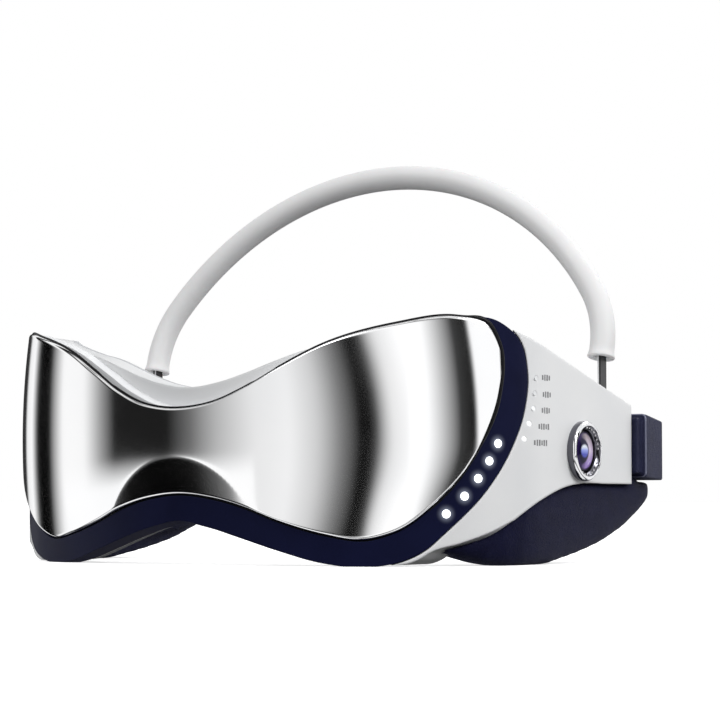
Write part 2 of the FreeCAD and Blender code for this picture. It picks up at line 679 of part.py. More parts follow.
# Soft skirts that fill in below the wings, cut flat where they rest
SKIRT_STATIONS = (0.12, 0.25, 0.42, 0.6, 0.78, 0.93, 1.0)
skirt_angle = math.degrees(math.acos((CORNER_Y - SKIRT_START) / CORNER_RADIUS))
skirt_turns = [lerp(skirt_angle, 90.0, i / 5.0) for i in range(6)]
skirt_edges = [(plan_point(a, 0.0), plan_normal(a) * -1.0) for a in skirt_turns]
for share in SKIRT_STATIONS:
    skirt_edges.append((V(HALF_WIDTH, lerp(CORNER_Y, SKIRT_END, share), 0), V(-1, 0, 0)))
skirt = Part.makeLoft([skirt_section(p, n, table_at(skirt_lows, p.y)) for p, n in skirt_edges], True, True)
cover_envelope = wrap(BEZEL_BACK, COVER_BACK, WING_END + LEAD).common(outline)
skirt = skirt.common(wrap(BEZEL_FACE, COVER_BACK, SKIRT_END + LEAD))
skirt = solid_of(skirt.cut(envelope).cut(cover_envelope).cut(front_zone))
skirt = solid_of(skirt.cut(below_table))
nodes["side_skirt_right"] = skirt
nodes["side_skirt_left"] = mirrored(skirt)


# Rolled edge of the cushion: shares of its thickness and of its edge rounding
CUSHION_EDGE = ((0.0, 0.33), (0.26, 0.0), (0.55, 0.33), (0.78, 1.0))

# Crown of the cushion: shares of its thickness and of its height between the rolled edges
CUSHION_CROWN = ((0.94, 0.25), (1.0, 0.5), (0.94, 0.75))


# Cross-section of the face cushion: flat on the cover, sides drawn in, crowned toward the face
def cushion_section(base, inward, low, high, thick):
    def at(depth, z):
        p = base + inward * (depth * thick)
        return V(p.x, p.y, z)
    upper = [at(d, high - CUSHION_ROUND * r) for d, r in CUSHION_EDGE]
    lower = [at(d, low + CUSHION_ROUND * r) for d, r in reversed(CUSHION_EDGE)]
    crown = [at(d, lerp(high - CUSHION_ROUND, low + CUSHION_ROUND, z)) for d, z in CUSHION_CROWN]
    return Part.makePolygon(upper + crown + lower + [upper[0]])


# Cushion stations along the wrap, thinning out at the wing ends
WING_STATIONS = ((0.3, 1.0), (0.6, 1.0), (0.86, 1.0), (0.95, 0.92), (1.0, 0.76))
front_steps = [FRONT_HALF_ANGLE * i / 3.0 for i in range(3)]
corner_steps = [lerp(FRONT_HALF_ANGLE, 90.0, i / 5.0) for i in range(6)]
stations = [(plan_point(a, COVER_BACK), plan_normal(a) * -1.0, 1.0) for a in front_steps + corner_steps]
cushion_end = SKIRT_END - CUSHION_MARGIN
for share, size in WING_STATIONS:
    stations.append((V(HALF_WIDTH - COVER_BACK, lerp(CORNER_Y, cushion_end, share), 0), V(-1, 0, 0), size))
wires = []
for p, inward, size in stations:
    high = min(table_at(housing_tops, p.x), wing_top_at(p.y)) - CUSHION_MARGIN
    low = table_at(housing_lows, p.x)
    if p.y > SKIRT_START:
        low = max(min(low, CUSHION_CHEEK), table_at(skirt_lows, p.y))
    low = low + CUSHION_MARGIN
    squeeze = (high - low) * (1.0 - size) * 0.5
    shape = (low + squeeze, high - squeeze, CUSHION_THICKNESS * size)
    wires.append(cushion_section(p, inward, *shape))
    if p.x > 0.01:
        wires.insert(0, cushion_section(V(-p.x, p.y, 0), V(-inward.x, inward.y, 0), *shape))
cushion = Part.makeLoft(wires, True, True)
for side in (-1.0, 1.0):
    cushion = cushion.cut(eye_rod(WINDOW_MARGIN, side))
nodes["face_cushion"] = solid_of(cushion)

# Temple caps slipped over the housing tails
cap = box(HALF_WIDTH - HOUSING_DEPTH, FACE_X + CAP_PROUD, CAP_START, CAP_START + CAP_LENGTH, CAP_LOW, CAP_HIGH)
rear_edges = [e for e in cap.Edges if min(v.Y for v in e.Vertexes) > CAP_START + CAP_LENGTH / 2.0]
cap = solid_of(cap.makeFillet(CAP_CORNER, rear_edges).cut(tail))
nodes["temple_cap_right"] = cap
nodes["temple_cap_left"] = mirrored(cap)

# Over-head band: three-centred arch of spring strip inside a soft sleeve
rise_gap = ARCH_RISE - ARCH_SIDE_RADIUS
span_gap = ARCH_HALF_SPAN - ARCH_SIDE_RADIUS
arch_drop = (span_gap ** 2 - rise_gap ** 2) / (2.0 * rise_gap)
top_radius = ARCH_RISE + arch_drop
arch_angle = math.degrees(math.atan2(span_gap, arch_drop))
spring_z = SLEEVE_END + SLEEVE_LEG
top_centre = V(0, BAND_Y, spring_z - arch_drop)
side_centre = V(span_gap, BAND_Y, spring_z)


# Point at a radius and angle from upright, in the plane of the arch
def arch_point(centre, radius, angle):
    a = math.radians(angle)
    return V(centre.x + radius * math.sin(a), BAND_Y, centre.z + radius * math.cos(a))


# Arch edges at an offset from the centre line, legs down to the foot
def arch_edges(offset):
    side_radius = ARCH_SIDE_RADIUS + offset
    join = arch_point(side_centre, side_radius, arch_angle)
    mid = arch_point(side_centre, side_radius, (arch_angle + 90.0) / 2.0)
    spring = arch_point(side_centre, side_radius, 90.0)
    toe = V(spring.x, BAND_Y, STRIP_FOOT)
    flip = [V(-p.x, p.y, p.z) for p in (join, mid, spring, toe)]
    crown = arch_point(top_centre, top_radius + offset, 0.0)
    return [line(flip[3], flip[2]), Part.Arc(flip[2], flip[1], flip[0]).toShape(),
            Part.Arc(flip[0], crown, join).toShape(), Part.Arc(join, mid, spring).toShape(), line(spring, toe)]


outer = arch_edges(STRIP_THICK / 2.0)
inner = arch_edges(-STRIP_THICK / 2.0)
ends = [line(outer[0].Vertexes[0].Point, inner[0].Vertexes[0].Point),
        line(outer[-1].Vertexes[1].Point, inner[-1].Vertexes[1].Point)]
strip = face_of(outer + inner + ends)
strip.translate(V(0, -STRIP_WIDE / 2.0, 0))
strip = strip.extrude(V(0, STRIP_WIDE, 0))
toe_half = STRIP_THICK / 2.0
toe_box = box(ARCH_HALF_SPAN - toe_half, ARCH_HALF_SPAN + toe_half, BAND_Y - TOE_WIDE / 2.0,
              BAND_Y + TOE_WIDE / 2.0, STRIP_FOOT, STRIP_FOOT + TOE_TALL)
strip = strip.fuse(toe_box).fuse(mirrored(toe_box)).removeSplitter()

sleeve_top = arch_point(top_centre, top_radius, 0.0)
sleeve_ring = []
for i in range(SLEEVE_SIDES + 1):
    a = 2.0 * math.pi * (i + 0.5) / SLEEVE_SIDES
    sleeve_ring.append(sleeve_top + V(0, math.cos(a), math.sin(a)) * (SLEEVE_DIAMETER / 2.0))
section = Part.Face(Part.makePolygon(sleeve_ring))
start = section.copy()
start.rotate(top_centre, V(0, 1, 0), -arch_angle)
sleeve = start.revolve(top_centre, V(0, 1, 0), 2.0 * arch_angle)
section.rotate(top_centre, V(0, 1, 0), arch_angle)
flank = section.revolve(side_centre, V(0, 1, 0), 90.0 - arch_angle)
leg = section.copy()
leg.rotate(side_centre, V(0, 1, 0), 90.0 - arch_angle)
leg = leg.extrude(V(0, 0, -SLEEVE_LEG))
leg = leg.makeChamfer(SLEEVE_ROUND, [e for e in leg.Edges if e.BoundBox.ZMax < SLEEVE_END + 0.01])
half_sleeve = flank.fuse(leg)
sleeve = sleeve.fuse(half_sleeve).fuse(mirrored(half_sleeve)).removeSplitter()
sleeve = sleeve.cut(strip)

# The arch leans back over its upright legs and meets them in a mitre
lean_at = V(0, BAND_Y, SLEEVE_END + LEAN_START)
lean_room = box(-2.0 * HALF_WIDTH, 2.0 * HALF_WIDTH, BAND_Y - HALF_WIDTH, BAND_Y + HALF_WIDTH,
                lean_at.z, lean_at.z + 2.0 * ARCH_RISE)
lean_room.rotate(lean_at, V(1, 0, 0), -ARCH_LEAN / 2.0)


# Band piece cut at the mitre, with its upper part tipped back
def leaned(piece):
    tipped = piece.copy()
    tipped.rotate(lean_at, V(1, 0, 0), -ARCH_LEAN)
    return solid_of(piece.cut(lean_room).fuse(tipped.common(lean_room)).removeSplitter())


nodes["band_strip"] = leaned(strip)
nodes["band_sleeve"] = leaned(sleeve)

# Guides inside the wings in which the strip slides
guide_x = slot_x + GUIDE_WALL
guide_y = slot_y + GUIDE_WALL
guide = box(ARCH_HALF_SPAN - guide_x, ARCH_HALF_SPAN + guide_x, BAND_Y - guide_y, BAND_Y + guide_y,
            GUIDE_LOW, CEILING)
guide = solid_of(guide.common(wing_cavity).cut(slot))
nodes["strip_guide_right"] = guide
nodes["strip_guide_left"] = mirrored(guide)


# Body of revolution about the button axis from (x, radius) corners
def button_turn(corners):
    pts = [V(x, BUTTON_Y, BUTTON_Z + r) for x, r in corners]
    return Part.Face(Part.makePolygon(pts + [pts[0]])).revolve(V(0, BUTTON_Y, BUTTON_Z), V(1, 0, 0), 360)


# Push button: chrome ring, glass lens on a carrier, stem into the switch
ring_front = FACE_X + RING_PROUD
ring_r = RING_DIAMETER / 2.0
bore_r = RING_BORE / 2.0
nodes["button_ring"] = button_turn([
    (WALL_X, bore_r), (WALL_X, RING_BARREL / 2.0), (FACE_X, RING_BARREL / 2.0), (FACE_X, ring_r),
    (ring_front - RING_BEVEL, ring_r), (ring_front, ring_r - RING_BEVEL), (ring_front, bore_r + RING_CONE),
    (ring_front - RING_CONE, bore_r)])
lens_r = bore_r - LENS_FIT
lens_top = ring_front - LENS_RECESS
lens_back = lens_top - LENS_DOME - LENS_THICK
dome_r = (lens_r ** 2 + LENS_DOME ** 2) / (2.0 * LENS_DOME)
dome = Part.makeSphere(dome_r, V(lens_top - dome_r, BUTTON_Y, BUTTON_Z))
nodes["button_lens"] = solid_of(x_rod(2.0 * lens_r, lens_back, ring_front, BUTTON_Y, BUTTON_Z).common(dome))
flange_top = WALL_X - FLANGE_GAP
flange_back = flange_top - FLANGE_THICK
carrier_back = flange_back - CARRIER_HUB
nodes["button_carrier"] = button_turn([
    (carrier_back, 0.0), (carrier_back, lens_r - FLANGE_WIDE), (flange_back, lens_r - FLANGE_WIDE),
    (flange_back, lens_r + FLANGE_WIDE), (flange_top, lens_r + FLANGE_WIDE), (flange_top, lens_r),
    (lens_back, lens_r), (lens_back, 0.0)])
switch_top = control_x + SWITCH_TALL
half_side = SWITCH_SIDE / 2.0
nodes["button_stem"] = x_rod(STEM_DIAMETER, switch_top - STEM_ENTRY, carrier_back, BUTTON_Y, BUTTON_Z)
switch = box(control_x, switch_top, BUTTON_Y - half_side, BUTTON_Y + half_side,
             BUTTON_Z - half_side, BUTTON_Z + half_side)
well_d = STEM_DIAMETER + 2.0 * STEM_FIT
well = x_rod(well_d, switch_top - SWITCH_BORE_DEPTH, switch_top + LEAD, BUTTON_Y, BUTTON_Z)
nodes["button_switch"] = solid_of(switch.cut(well))
chip_back = control_x - BOARD_THICK
nodes["control_board"] = box(chip_back, control_x, control_y[0], control_y[1], control_z[0], control_z[1])
chip_z = BUTTON_Z - CHIP_SIDE / 2.0
first_chip = control_y[0] + BOARD_EDGE
last_chip = control_y[1] - BOARD_EDGE - CHIP_SIDE
nodes["control_chips"] = Part.makeCompound([
    box(chip_back - CHIP_TALL, chip_back, y, y + CHIP_SIDE, chip_z, chip_z + CHIP_SIDE)
    for y in (first_chip, first_chip + CHIP_PITCH, last_chip)])

# Battery on the inner cover of the left wing
cover_x = HALF_WIDTH - HOUSING_DEPTH
battery_y = BUTTON_Y - BATTERY_LONG / 2.0
nodes["battery_cell"] = box(-cover_x - BATTERY_THICK, -cover_x, battery_y, battery_y + BATTERY_LONG,
                            control_z[0], control_z[0] + BATTERY_TALL)

# Charging socket in the left wing
sock_out = PANEL_CLEARANCE - FACE_X
sock_in = sock_out + SOCKET_DEPTH
socket = box(sock_out, sock_in, BUTTON_Y - half_w, BUTTON_Y + half_w, BUTTON_Z - half_t, BUTTON_Z + half_t)
mouth_w = half_w - SOCKET_WALL
mouth_t = half_t - SOCKET_WALL
mouth = box(sock_out - LEAD, sock_in - SOCKET_BACK, BUTTON_Y - mouth_w, BUTTON_Y + mouth_w,
            BUTTON_Z - mouth_t, BUTTON_Z + mouth_t)
tongue_y = BUTTON_Y - TONGUE_WIDE / 2.0
tongue = box(sock_out + SOCKET_BACK, sock_in - SOCKET_WALL, tongue_y, tongue_y + TONGUE_WIDE,
             BUTTON_Z - SOCKET_WALL, BUTTON_Z + SOCKET_WALL)
nodes["charge_socket"] = solid_of(socket.cut(mouth).fuse(tongue).removeSplitter())

# Treatment light boards, main board and vibration motors in the front dish
half_led = LED_SIDE / 2.0
board_z = EYE_HEIGHT - LIGHT_BOARD_TALL / 2.0
for side, name in ((-1.0, "left"), (1.0, "right")):
    board = box(-LIGHT_BOARD_WIDE / 2.0, LIGHT_BOARD_WIDE / 2.0, board_near, board_far,
                board_z, board_z + LIGHT_BOARD_TALL)
    nodes["light_board_" + name] = turned(board, side * eye_angle)
    leds = []
    for column in (-1.5, -0.5, 0.5, 1.5):
        for row in (-0.5, 0.5):
            x = column * LED_PITCH
            z = EYE_HEIGHT + row * LED_PITCH
            led = box(x - half_led, x + half_led, board_far, board_far + LED_TALL, z - half_led, z + half_led)
            leds.append(turned(led, side * eye_angle))
    nodes["treatment_leds_" + name] = Part.makeCompound(leds)
    nodes["vibration_motor_" + name] = plan_rod(side * motor_angle, EYE_HEIGHT, MOTOR_DIAMETER, motor_near,
                                                motor_near + MOTOR_THICK)
main_low = main_z - MAIN_BOARD_TALL / 2.0
nodes["main_board"] = box(-MAIN_BOARD_WIDE / 2.0, MAIN_BOARD_WIDE / 2.0, board_near, board_far, main_low,
                          main_low + MAIN_BOARD_TALL)
chip_end = CHIP_PITCH - CHIP_SIDE
chip_spots = [(-CHIP_PITCH, -CHIP_PITCH), (chip_end, -CHIP_PITCH), (-CHIP_SIDE / 2.0, chip_end)]
nodes["main_chips"] = Part.makeCompound([
    box(x, x + CHIP_SIDE, board_far, board_far + CHIP_TALL, main_z + z, main_z + z + CHIP_SIDE)
    for x, z in chip_spots])

# Flexible boards behind the two rows of lamps
reach0 = skew_reach(band_lamps[0][0])
reach1 = skew_reach(band_lamps[-1][0])
z0 = band_lamps[0][1]
z1 = band_lamps[-1][1]
corners = [on_skew(reach1 - FLEX_BORDER, z1 + FLEX_BORDER), on_skew(reach1 + FLEX_BORDER, z1 + FLEX_BORDER),
           on_skew(reach0 + FLEX_BORDER, z0 - FLEX_BORDER), on_skew(reach0 - FLEX_BORDER, z0 - FLEX_BORDER)]
flex_face = Part.Face(Part.makePolygon(corners + [corners[0]]))
flex_slab = wrap(INNER_FACE, INNER_FACE + FLEX_THICK, WING_END)
nodes["band_lamp_flex"] = solid_of(flex_slab.common(skew_prism(flex_face)))
mode_y = [pipe_end(a).y for a, z in mode_lamps]
mode_room = box(CORNER_X, BIG, min(mode_y) - FLEX_BORDER, max(mode_y) + FLEX_BORDER,
                mode_lamps[0][1] - FLEX_BORDER, mode_lamps[-1][1] + FLEX_BORDER)
nodes["mode_lamp_flex"] = solid_of(flex_slab.common(mode_room))

# Stand the part on the table with its length centred
rear = max(SKIRT_END, CAP_START + CAP_LENGTH)
shift = V(0, -(VISOR_FACE + rear) / 2.0, 0)
os.makedirs("parts", exist_ok=True)
for name, shape in nodes.items():
    out = shape.copy()
    out.translate(shift)
    out.exportStep("parts/" + name + ".step")
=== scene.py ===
# %% [markdown]
# # An eye beauty device, dressed on its CAD frame
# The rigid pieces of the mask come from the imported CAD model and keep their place. This lesson gives each of
# them a finish, and models again what CAD shows too plainly: the mirrored visor and its black seal, the soft
# cushion, skirts and temple caps, the silicone tube of the head band, and the ring of the push button.

# %% Load the frame
import math

import bpy
import numpy as np
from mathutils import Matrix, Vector


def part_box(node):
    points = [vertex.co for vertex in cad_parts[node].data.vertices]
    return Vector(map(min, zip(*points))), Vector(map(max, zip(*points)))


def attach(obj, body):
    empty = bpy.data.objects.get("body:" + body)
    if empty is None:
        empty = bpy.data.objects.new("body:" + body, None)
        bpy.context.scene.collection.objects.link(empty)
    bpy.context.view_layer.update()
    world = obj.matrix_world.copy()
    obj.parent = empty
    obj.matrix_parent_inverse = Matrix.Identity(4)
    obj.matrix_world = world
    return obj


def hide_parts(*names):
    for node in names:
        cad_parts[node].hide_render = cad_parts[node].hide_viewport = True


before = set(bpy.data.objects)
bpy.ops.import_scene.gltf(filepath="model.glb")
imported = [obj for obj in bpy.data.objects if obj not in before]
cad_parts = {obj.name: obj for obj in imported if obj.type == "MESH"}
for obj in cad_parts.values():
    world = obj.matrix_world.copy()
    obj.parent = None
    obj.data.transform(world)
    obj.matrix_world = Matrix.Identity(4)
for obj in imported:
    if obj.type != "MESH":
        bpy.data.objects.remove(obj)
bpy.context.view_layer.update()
scene = bpy.context.scene
MM = 0.001
Y_SHIFT = -71.8  # sizes along the wrap count from the nose, the frame from the middle of the length

# %% [markdown]
# ## Camera
# The product was photographed from its right front, almost at table height, through a long lens. A long
# focal length keeps the near and the far lobe of the visor alike in size. The camera is turned a little to
# the right and tilted up instead of using lens shift, so that it also works from other sides.

# %% Camera at the photograph's angle
CAMERA_SIDE, CAMERA_AHEAD, CAMERA_HEIGHT = 0.5369, -0.7816, 0.021
LOOK_AZIMUTH, LOOK_TILT = math.radians(33.2), math.radians(3.04)
FOCAL_LENGTH, SENSOR_WIDTH = 133.5, 36.0
camera_data = bpy.data.cameras.new("product_camera")
camera_data.lens, camera_data.sensor_width = FOCAL_LENGTH, SENSOR_WIDTH
camera_data.clip_start, camera_data.clip_end = 0.01, 200.0
camera = bpy.data.objects.new("product_camera", camera_data)
scene.collection.objects.link(camera)
look = Vector((-math.sin(LOOK_AZIMUTH) * math.cos(LOOK_TILT), math.cos(LOOK_AZIMUTH) * math.cos(LOOK_TILT),
               math.sin(LOOK_TILT)))
camera.location = (CAMERA_SIDE, CAMERA_AHEAD, CAMERA_HEIGHT)
camera.rotation_euler = look.to_track_quat("-Z", "Y").to_euler()
scene.camera = camera
print("camera looks along", [round(v, 3) for v in look])

# %% [markdown]
# ## Studio
# A mirror shows the room, so the room is part of the look. The photographer used white walls with tall black
# flags between them, and the mirror draws them as soft dark bands. Cards hung round the mask could do this,
# but they would stand in other views. So the world shader paints the flags by compass direction, for glossy
# rays only, while plain white light falls on everything else.

# %% Node helpers
# A socket knows the node tree that it belongs to, so most of these need no tree of their own
def feed(value, socket):
    if isinstance(value, bpy.types.NodeSocket):
        socket.id_data.links.new(value, socket)
    else:
        socket.default_value = value


def add(tree, kind, **sockets):
    node = tree.nodes.new(kind)
    for key, value in sockets.items():
        feed(value, node.inputs[key.replace("_", " ")])
    return node


def calc(operation, a, b=0.0, clamp=False):
    tree = (a if isinstance(a, bpy.types.NodeSocket) else b).id_data
    node = tree.nodes.new("ShaderNodeMath")
    node.operation = operation
    node.use_clamp = clamp
    feed(a, node.inputs[0])
    feed(b, node.inputs[1])
    return node.outputs[0]


def vector_calc(operation, a, b=(0.0, 0.0, 0.0)):
    node = a.id_data.nodes.new("ShaderNodeVectorMath")
    node.operation = operation
    feed(a, node.inputs[0])
    feed(b, node.inputs[1])
    return node.outputs["Value" if operation in ("DISTANCE", "LENGTH") else "Vector"]


def axes_of(vector):
    return add(vector.id_data, "ShaderNodeSeparateXYZ", Vector=vector).outputs


def ramp(factor, stops):
    node = factor.id_data.nodes.new("ShaderNodeValToRGB")
    elements = node.color_ramp.elements
    while len(elements) < len(stops):
        elements.new(0.5)
    for element, (place, value) in zip(elements, stops):
        element.position = place
        element.color = (value, value, value, 1.0) if isinstance(value, float) else (*value, 1.0)
    feed(factor, node.inputs[0])
    return node.outputs[0]


def lay_over(mask, under, over):
    node = mask.id_data.nodes.new("ShaderNodeMix")
    node.data_type = "RGBA"
    for number, value in ((0, mask), (6, under), (7, over)):
        feed(value, node.inputs[number])
    return node.outputs[2]


print("node helpers ready")

# %% Direction of each ray in the studio
DEGREES = 180.0 / math.pi
world = bpy.data.worlds.new("studio")
scene.world = world
world.use_nodes = True
sky = world.node_tree
sky.nodes.clear()
direction = axes_of(sky.nodes.new("ShaderNodeTexCoord").outputs["Generated"])
toward_front = calc("MULTIPLY", direction["Y"], -1.0)
azimuth = calc("MULTIPLY", calc("ARCTAN2", direction["X"], toward_front), DEGREES)
elevation = calc("MULTIPLY", calc("ARCSINE", direction["Z"]), DEGREES)
print("studio reads azimuth and elevation")

# %% Tall black flags, bowed above and below the horizon
# Each pair is an azimuth in degrees and how white the wall is there; a colour ramp holds 32 of them
FLAGS = ((-180, 0.85), (-150, 0.03), (-116, 0.03), (-110, 0.8), (-98, 0.92), (-95, 0.0), (-87, 0.0),
         (-80, 0.9), (-70, 0.88), (-63, 0.3), (-58, 0.01), (-39, 0.01), (-32, 0.14), (-24, 0.45),
         (-13.5, 0.76), (-4, 0.84), (3, 0.6), (9, 0.2), (14, 0.002), (18, 0.004), (22, 0.75), (29, 1.0),
         (42, 0.97), (56, 0.4), (66, 0.04), (77, 0.0), (80, 0.95), (112, 0.95), (118, 0.04), (133, 0.02),
         (137, 0.9), (173, 0.85))
BOW_HEIGHT, BOW, RIGHT_BOW, RIGHT_FROM = 13.0, 4.0, 0.75, 14.0
bow = calc("POWER", calc("DIVIDE", elevation, BOW_HEIGHT), 2.0)
right_part = calc("MAXIMUM", calc("SUBTRACT", azimuth, RIGHT_FROM), 0.0)
low_part = calc("LESS_THAN", elevation, 0.0)
bend = calc("ADD", calc("MULTIPLY", calc("MULTIPLY", right_part, low_part), RIGHT_BOW), BOW)
bent = calc("ADD", azimuth, calc("MULTIPLY", bow, bend))
round_share = calc("ADD", calc("DIVIDE", bent, 360.0), 0.5, clamp=True)
flags = ramp(round_share, [(a / 360.0 + 0.5, float(v)) for a, v in FLAGS])
print("studio flags", len(FLAGS))

# %% Dark patch that the nose facet mirrors
# Below the horizon, left of centre, the room is white but for this patch
PATCH_AZIMUTH, PATCH_WIDE, PATCH_ELEVATION, PATCH_TALL = -41.0, 12.0, -19.0, 18.0
LOW_FROM, LOW_FULL, LEFT_END, LEFT_START = -1.5, -4.5, -80.0, -14.0
patch_x = calc("DIVIDE", calc("SUBTRACT", azimuth, PATCH_AZIMUTH), PATCH_WIDE)
patch_z = calc("DIVIDE", calc("SUBTRACT", elevation, PATCH_ELEVATION), PATCH_TALL)
patch_far = calc("ADD", calc("POWER", patch_x, 2.0), calc("POWER", patch_z, 2.0))
patch = ramp(patch_far, [(0.0, 0.0), (0.3, 0.003), (0.8, 0.15), (1.0, 0.95)])
low_down = add(sky, "ShaderNodeMapRange", Value=elevation, From_Min=LOW_FROM, From_Max=LOW_FULL).outputs[0]
front_left = calc("MULTIPLY", calc("LESS_THAN", azimuth, LEFT_START), calc("GREATER_THAN", azimuth, LEFT_END))
room = lay_over(calc("MULTIPLY", low_down, front_left), flags, patch)
print("patch at", PATCH_AZIMUTH, PATCH_ELEVATION)

# %% Dark belt, white card and dark foot of the room
# Lower walls and rims of the mask mirror these; 0 is straight down and 1 the horizon
BELTS = ((0.13, 0.0), (0.2, 1.0), (0.5, 1.0), (0.56, 0.0), (0.6, 0.0), (0.72, 1.0))
depth = calc("ADD", calc("DIVIDE", elevation, 90.0), 1.0)
whole_room = lay_over(ramp(depth, BELTS), (0.02, 0.02, 0.025, 1.0), room)
print("room has", len(BELTS), "belt edges")

# %% Light for mirrors, for everything else, and for the white backdrop
PLAIN_LIGHT = ((0.4, 0.04), (0.55, 0.68), (1.0, 0.78))
MIRROR_STRENGTH = 1.15
rays = sky.nodes.new("ShaderNodeLightPath").outputs
height = calc("ADD", calc("DIVIDE", elevation, 180.0), 0.5)
glossy_light = add(sky, "ShaderNodeBackground", Color=whole_room, Strength=MIRROR_STRENGTH)
plain_light = add(sky, "ShaderNodeBackground", Color=ramp(height, PLAIN_LIGHT), Strength=1.0)
backdrop = add(sky, "ShaderNodeBackground", Color=(1.0, 1.0, 1.0, 1.0), Strength=1.0)


def choose(ray, otherwise, then):
    node = sky.nodes.new("ShaderNodeMixShader")
    for socket, value in zip(node.inputs, (rays[ray], otherwise, then)):
        sky.links.new(value, socket)
    return node.outputs[0]


lit = choose("Is Glossy Ray", plain_light.outputs[0], glossy_light.outputs[0])
seen = choose("Is Camera Ray", lit, backdrop.outputs[0])
sky.links.new(seen, sky.nodes.new("ShaderNodeOutputWorld").inputs["Surface"])
scene.view_settings.view_transform = "Standard"
print("studio world", len(sky.nodes), "nodes")

# %% [markdown]
# ### Soft lights
# Three large lamps give the white shell its gentle shading: one above the front, a stronger one toward the
# button's wing, and one behind for the tube. They are big and near, because a big lamp has no hard shadow.

# %% Soft lights
def soft_light(name, place, aim, size, power):
    data = bpy.data.lights.new(name, "AREA")
    data.shape = "RECTANGLE"
    data.size, data.size_y = size
    data.energy = power
    lamp = bpy.data.objects.new(name, data)
    scene.collection.objects.link(lamp)
    lamp.location = place
    lamp.rotation_euler = (Vector(aim) - Vector(place)).to_track_quat("-Z", "Y").to_euler()


soft_light("key_softbox", (-0.3, -0.9, 1.0), (0, 0, 0.05), (0.7, 0.5), 3.8)
soft_light("right_softbox", (1.2, -0.1, 0.8), (0.08, 0, 0.04), (0.4, 0.6), 9.5)
soft_light("back_softbox", (0.3, 1.0, 0.9), (0, 0, 0.1), (0.8, 0.4), 3.5)

# %% [markdown]
# ## Floor
# The mask stands on a plain white table. A grid that covers the whole view is enough; the mirror must not see
# it, because the photographer's table was hidden behind white card.

# %% Floor
bpy.ops.object.select_all(action="DESELECT")
bpy.ops.mesh.primitive_grid_add(x_subdivisions=4, y_subdivisions=4, size=60.0, location=(0, 0, 0))
floor = bpy.context.object
floor.name = "studio_floor"
floor.visible_glossy = False
floor.visible_diffuse = False
paint = bpy.data.materials.new("pale_floor")
paint.use_nodes = True
for key, value in (("Base Color", (0.93, 0.93, 0.93, 1)), ("Roughness", 0.9), ("Specular IOR Level", 0.0),
                   ("Emission Color", (1, 1, 1, 1)), ("Emission Strength", 0.62)):
    paint.node_tree.nodes["Principled BSDF"].inputs[key].default_value = value
floor.data.materials.append(paint)
print("floor", floor.dimensions[:])

# %% [markdown]
# ## Finishes
# Each finish is a small node graph on Object coordinates, so a grain stays on its piece when the piece moves.
# One noise varies the colour, one the gloss and a fine one the bump: a moulded shell is never perfectly even,
# and leather has a grain of little cells. Most pieces need just these three, so one helper lays them all.

# %% Finish helpers
def finish(name, color, roughness, metallic=0.0, **sockets):
    material = bpy.data.materials.new(name)
    material.use_nodes = True
    tree = material.node_tree
    shader = tree.nodes["Principled BSDF"]
    shader.inputs["Base Color"].default_value = (*color, 1.0)
    shader.inputs["Roughness"].default_value = roughness
    shader.inputs["Metallic"].default_value = metallic
    for key, value in sockets.items():
        shader.inputs[key.replace("_", " ")].default_value = value
    place = tree.nodes.new("ShaderNodeTexCoord").outputs["Object"]
    return material, shader, place


def noise(place, scale, detail=3.0):
    return add(place.id_data, "ShaderNodeTexNoise", Vector=place, Scale=scale, Detail=detail).outputs["Fac"]


def tones(factor, dark, light):
    return ramp(factor, ((0.25, dark), (0.75, light)))


def vary_gloss(shader, factor, low, high):
    spread = add(shader.id_data, "ShaderNodeMapRange", Value=factor, To_Min=low, To_Max=high)
    feed(spread.outputs[0], shader.inputs["Roughness"])


def bump(shader, height, strength, distance, soft_edge=0.0):
    node = add(shader.id_data, "ShaderNodeBump", Height=height, Strength=strength, Distance=distance)
    if soft_edge:
        edge = add(shader.id_data, "ShaderNodeBevel", Radius=soft_edge)
        edge.samples = 6
        feed(edge.outputs[0], node.inputs["Normal"])
    feed(node.outputs[0], shader.inputs["Normal"])


# %% Plain finish: tone, gloss and grain
# tone is (noise scale, dark, light), gloss is (noise scale, low, high) or one number for an even gloss, and
# grain is (noise scale, strength, height)
def skin(name, tone, gloss, grain=None, soft_edge=0.0, metallic=0.0, details=(3.0, 3.0, 3.0), **sockets):
    even = isinstance(gloss, float)
    material, shader, place = finish(name, tone[1], gloss if even else gloss[1], metallic, **sockets)
    feed(tones(noise(place, tone[0], details[0]), *tone[1:]), shader.inputs["Base Color"])
    if not even:
        vary_gloss(shader, noise(place, gloss[0], details[1]), *gloss[1:])
    if grain:
        bump(shader, noise(place, grain[0], details[2]), *grain[1:], soft_edge)
    return material


def dress(finish_material, *nodes):
    for node in nodes:
        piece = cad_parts[node]
        piece.data.materials.clear()
        piece.data.materials.append(finish_material)


print("finish helpers ready")

# %% [markdown]
# ### Hard finishes
# The shell is white satin plastic with a faint moulded orange peel. The mirror is metallised plastic, so it
# is a pure metal shader with almost no roughness. The parts inside are seen only when the mask is taken
# apart, but each gets its own material too. The navy band comes later, with its lamps.

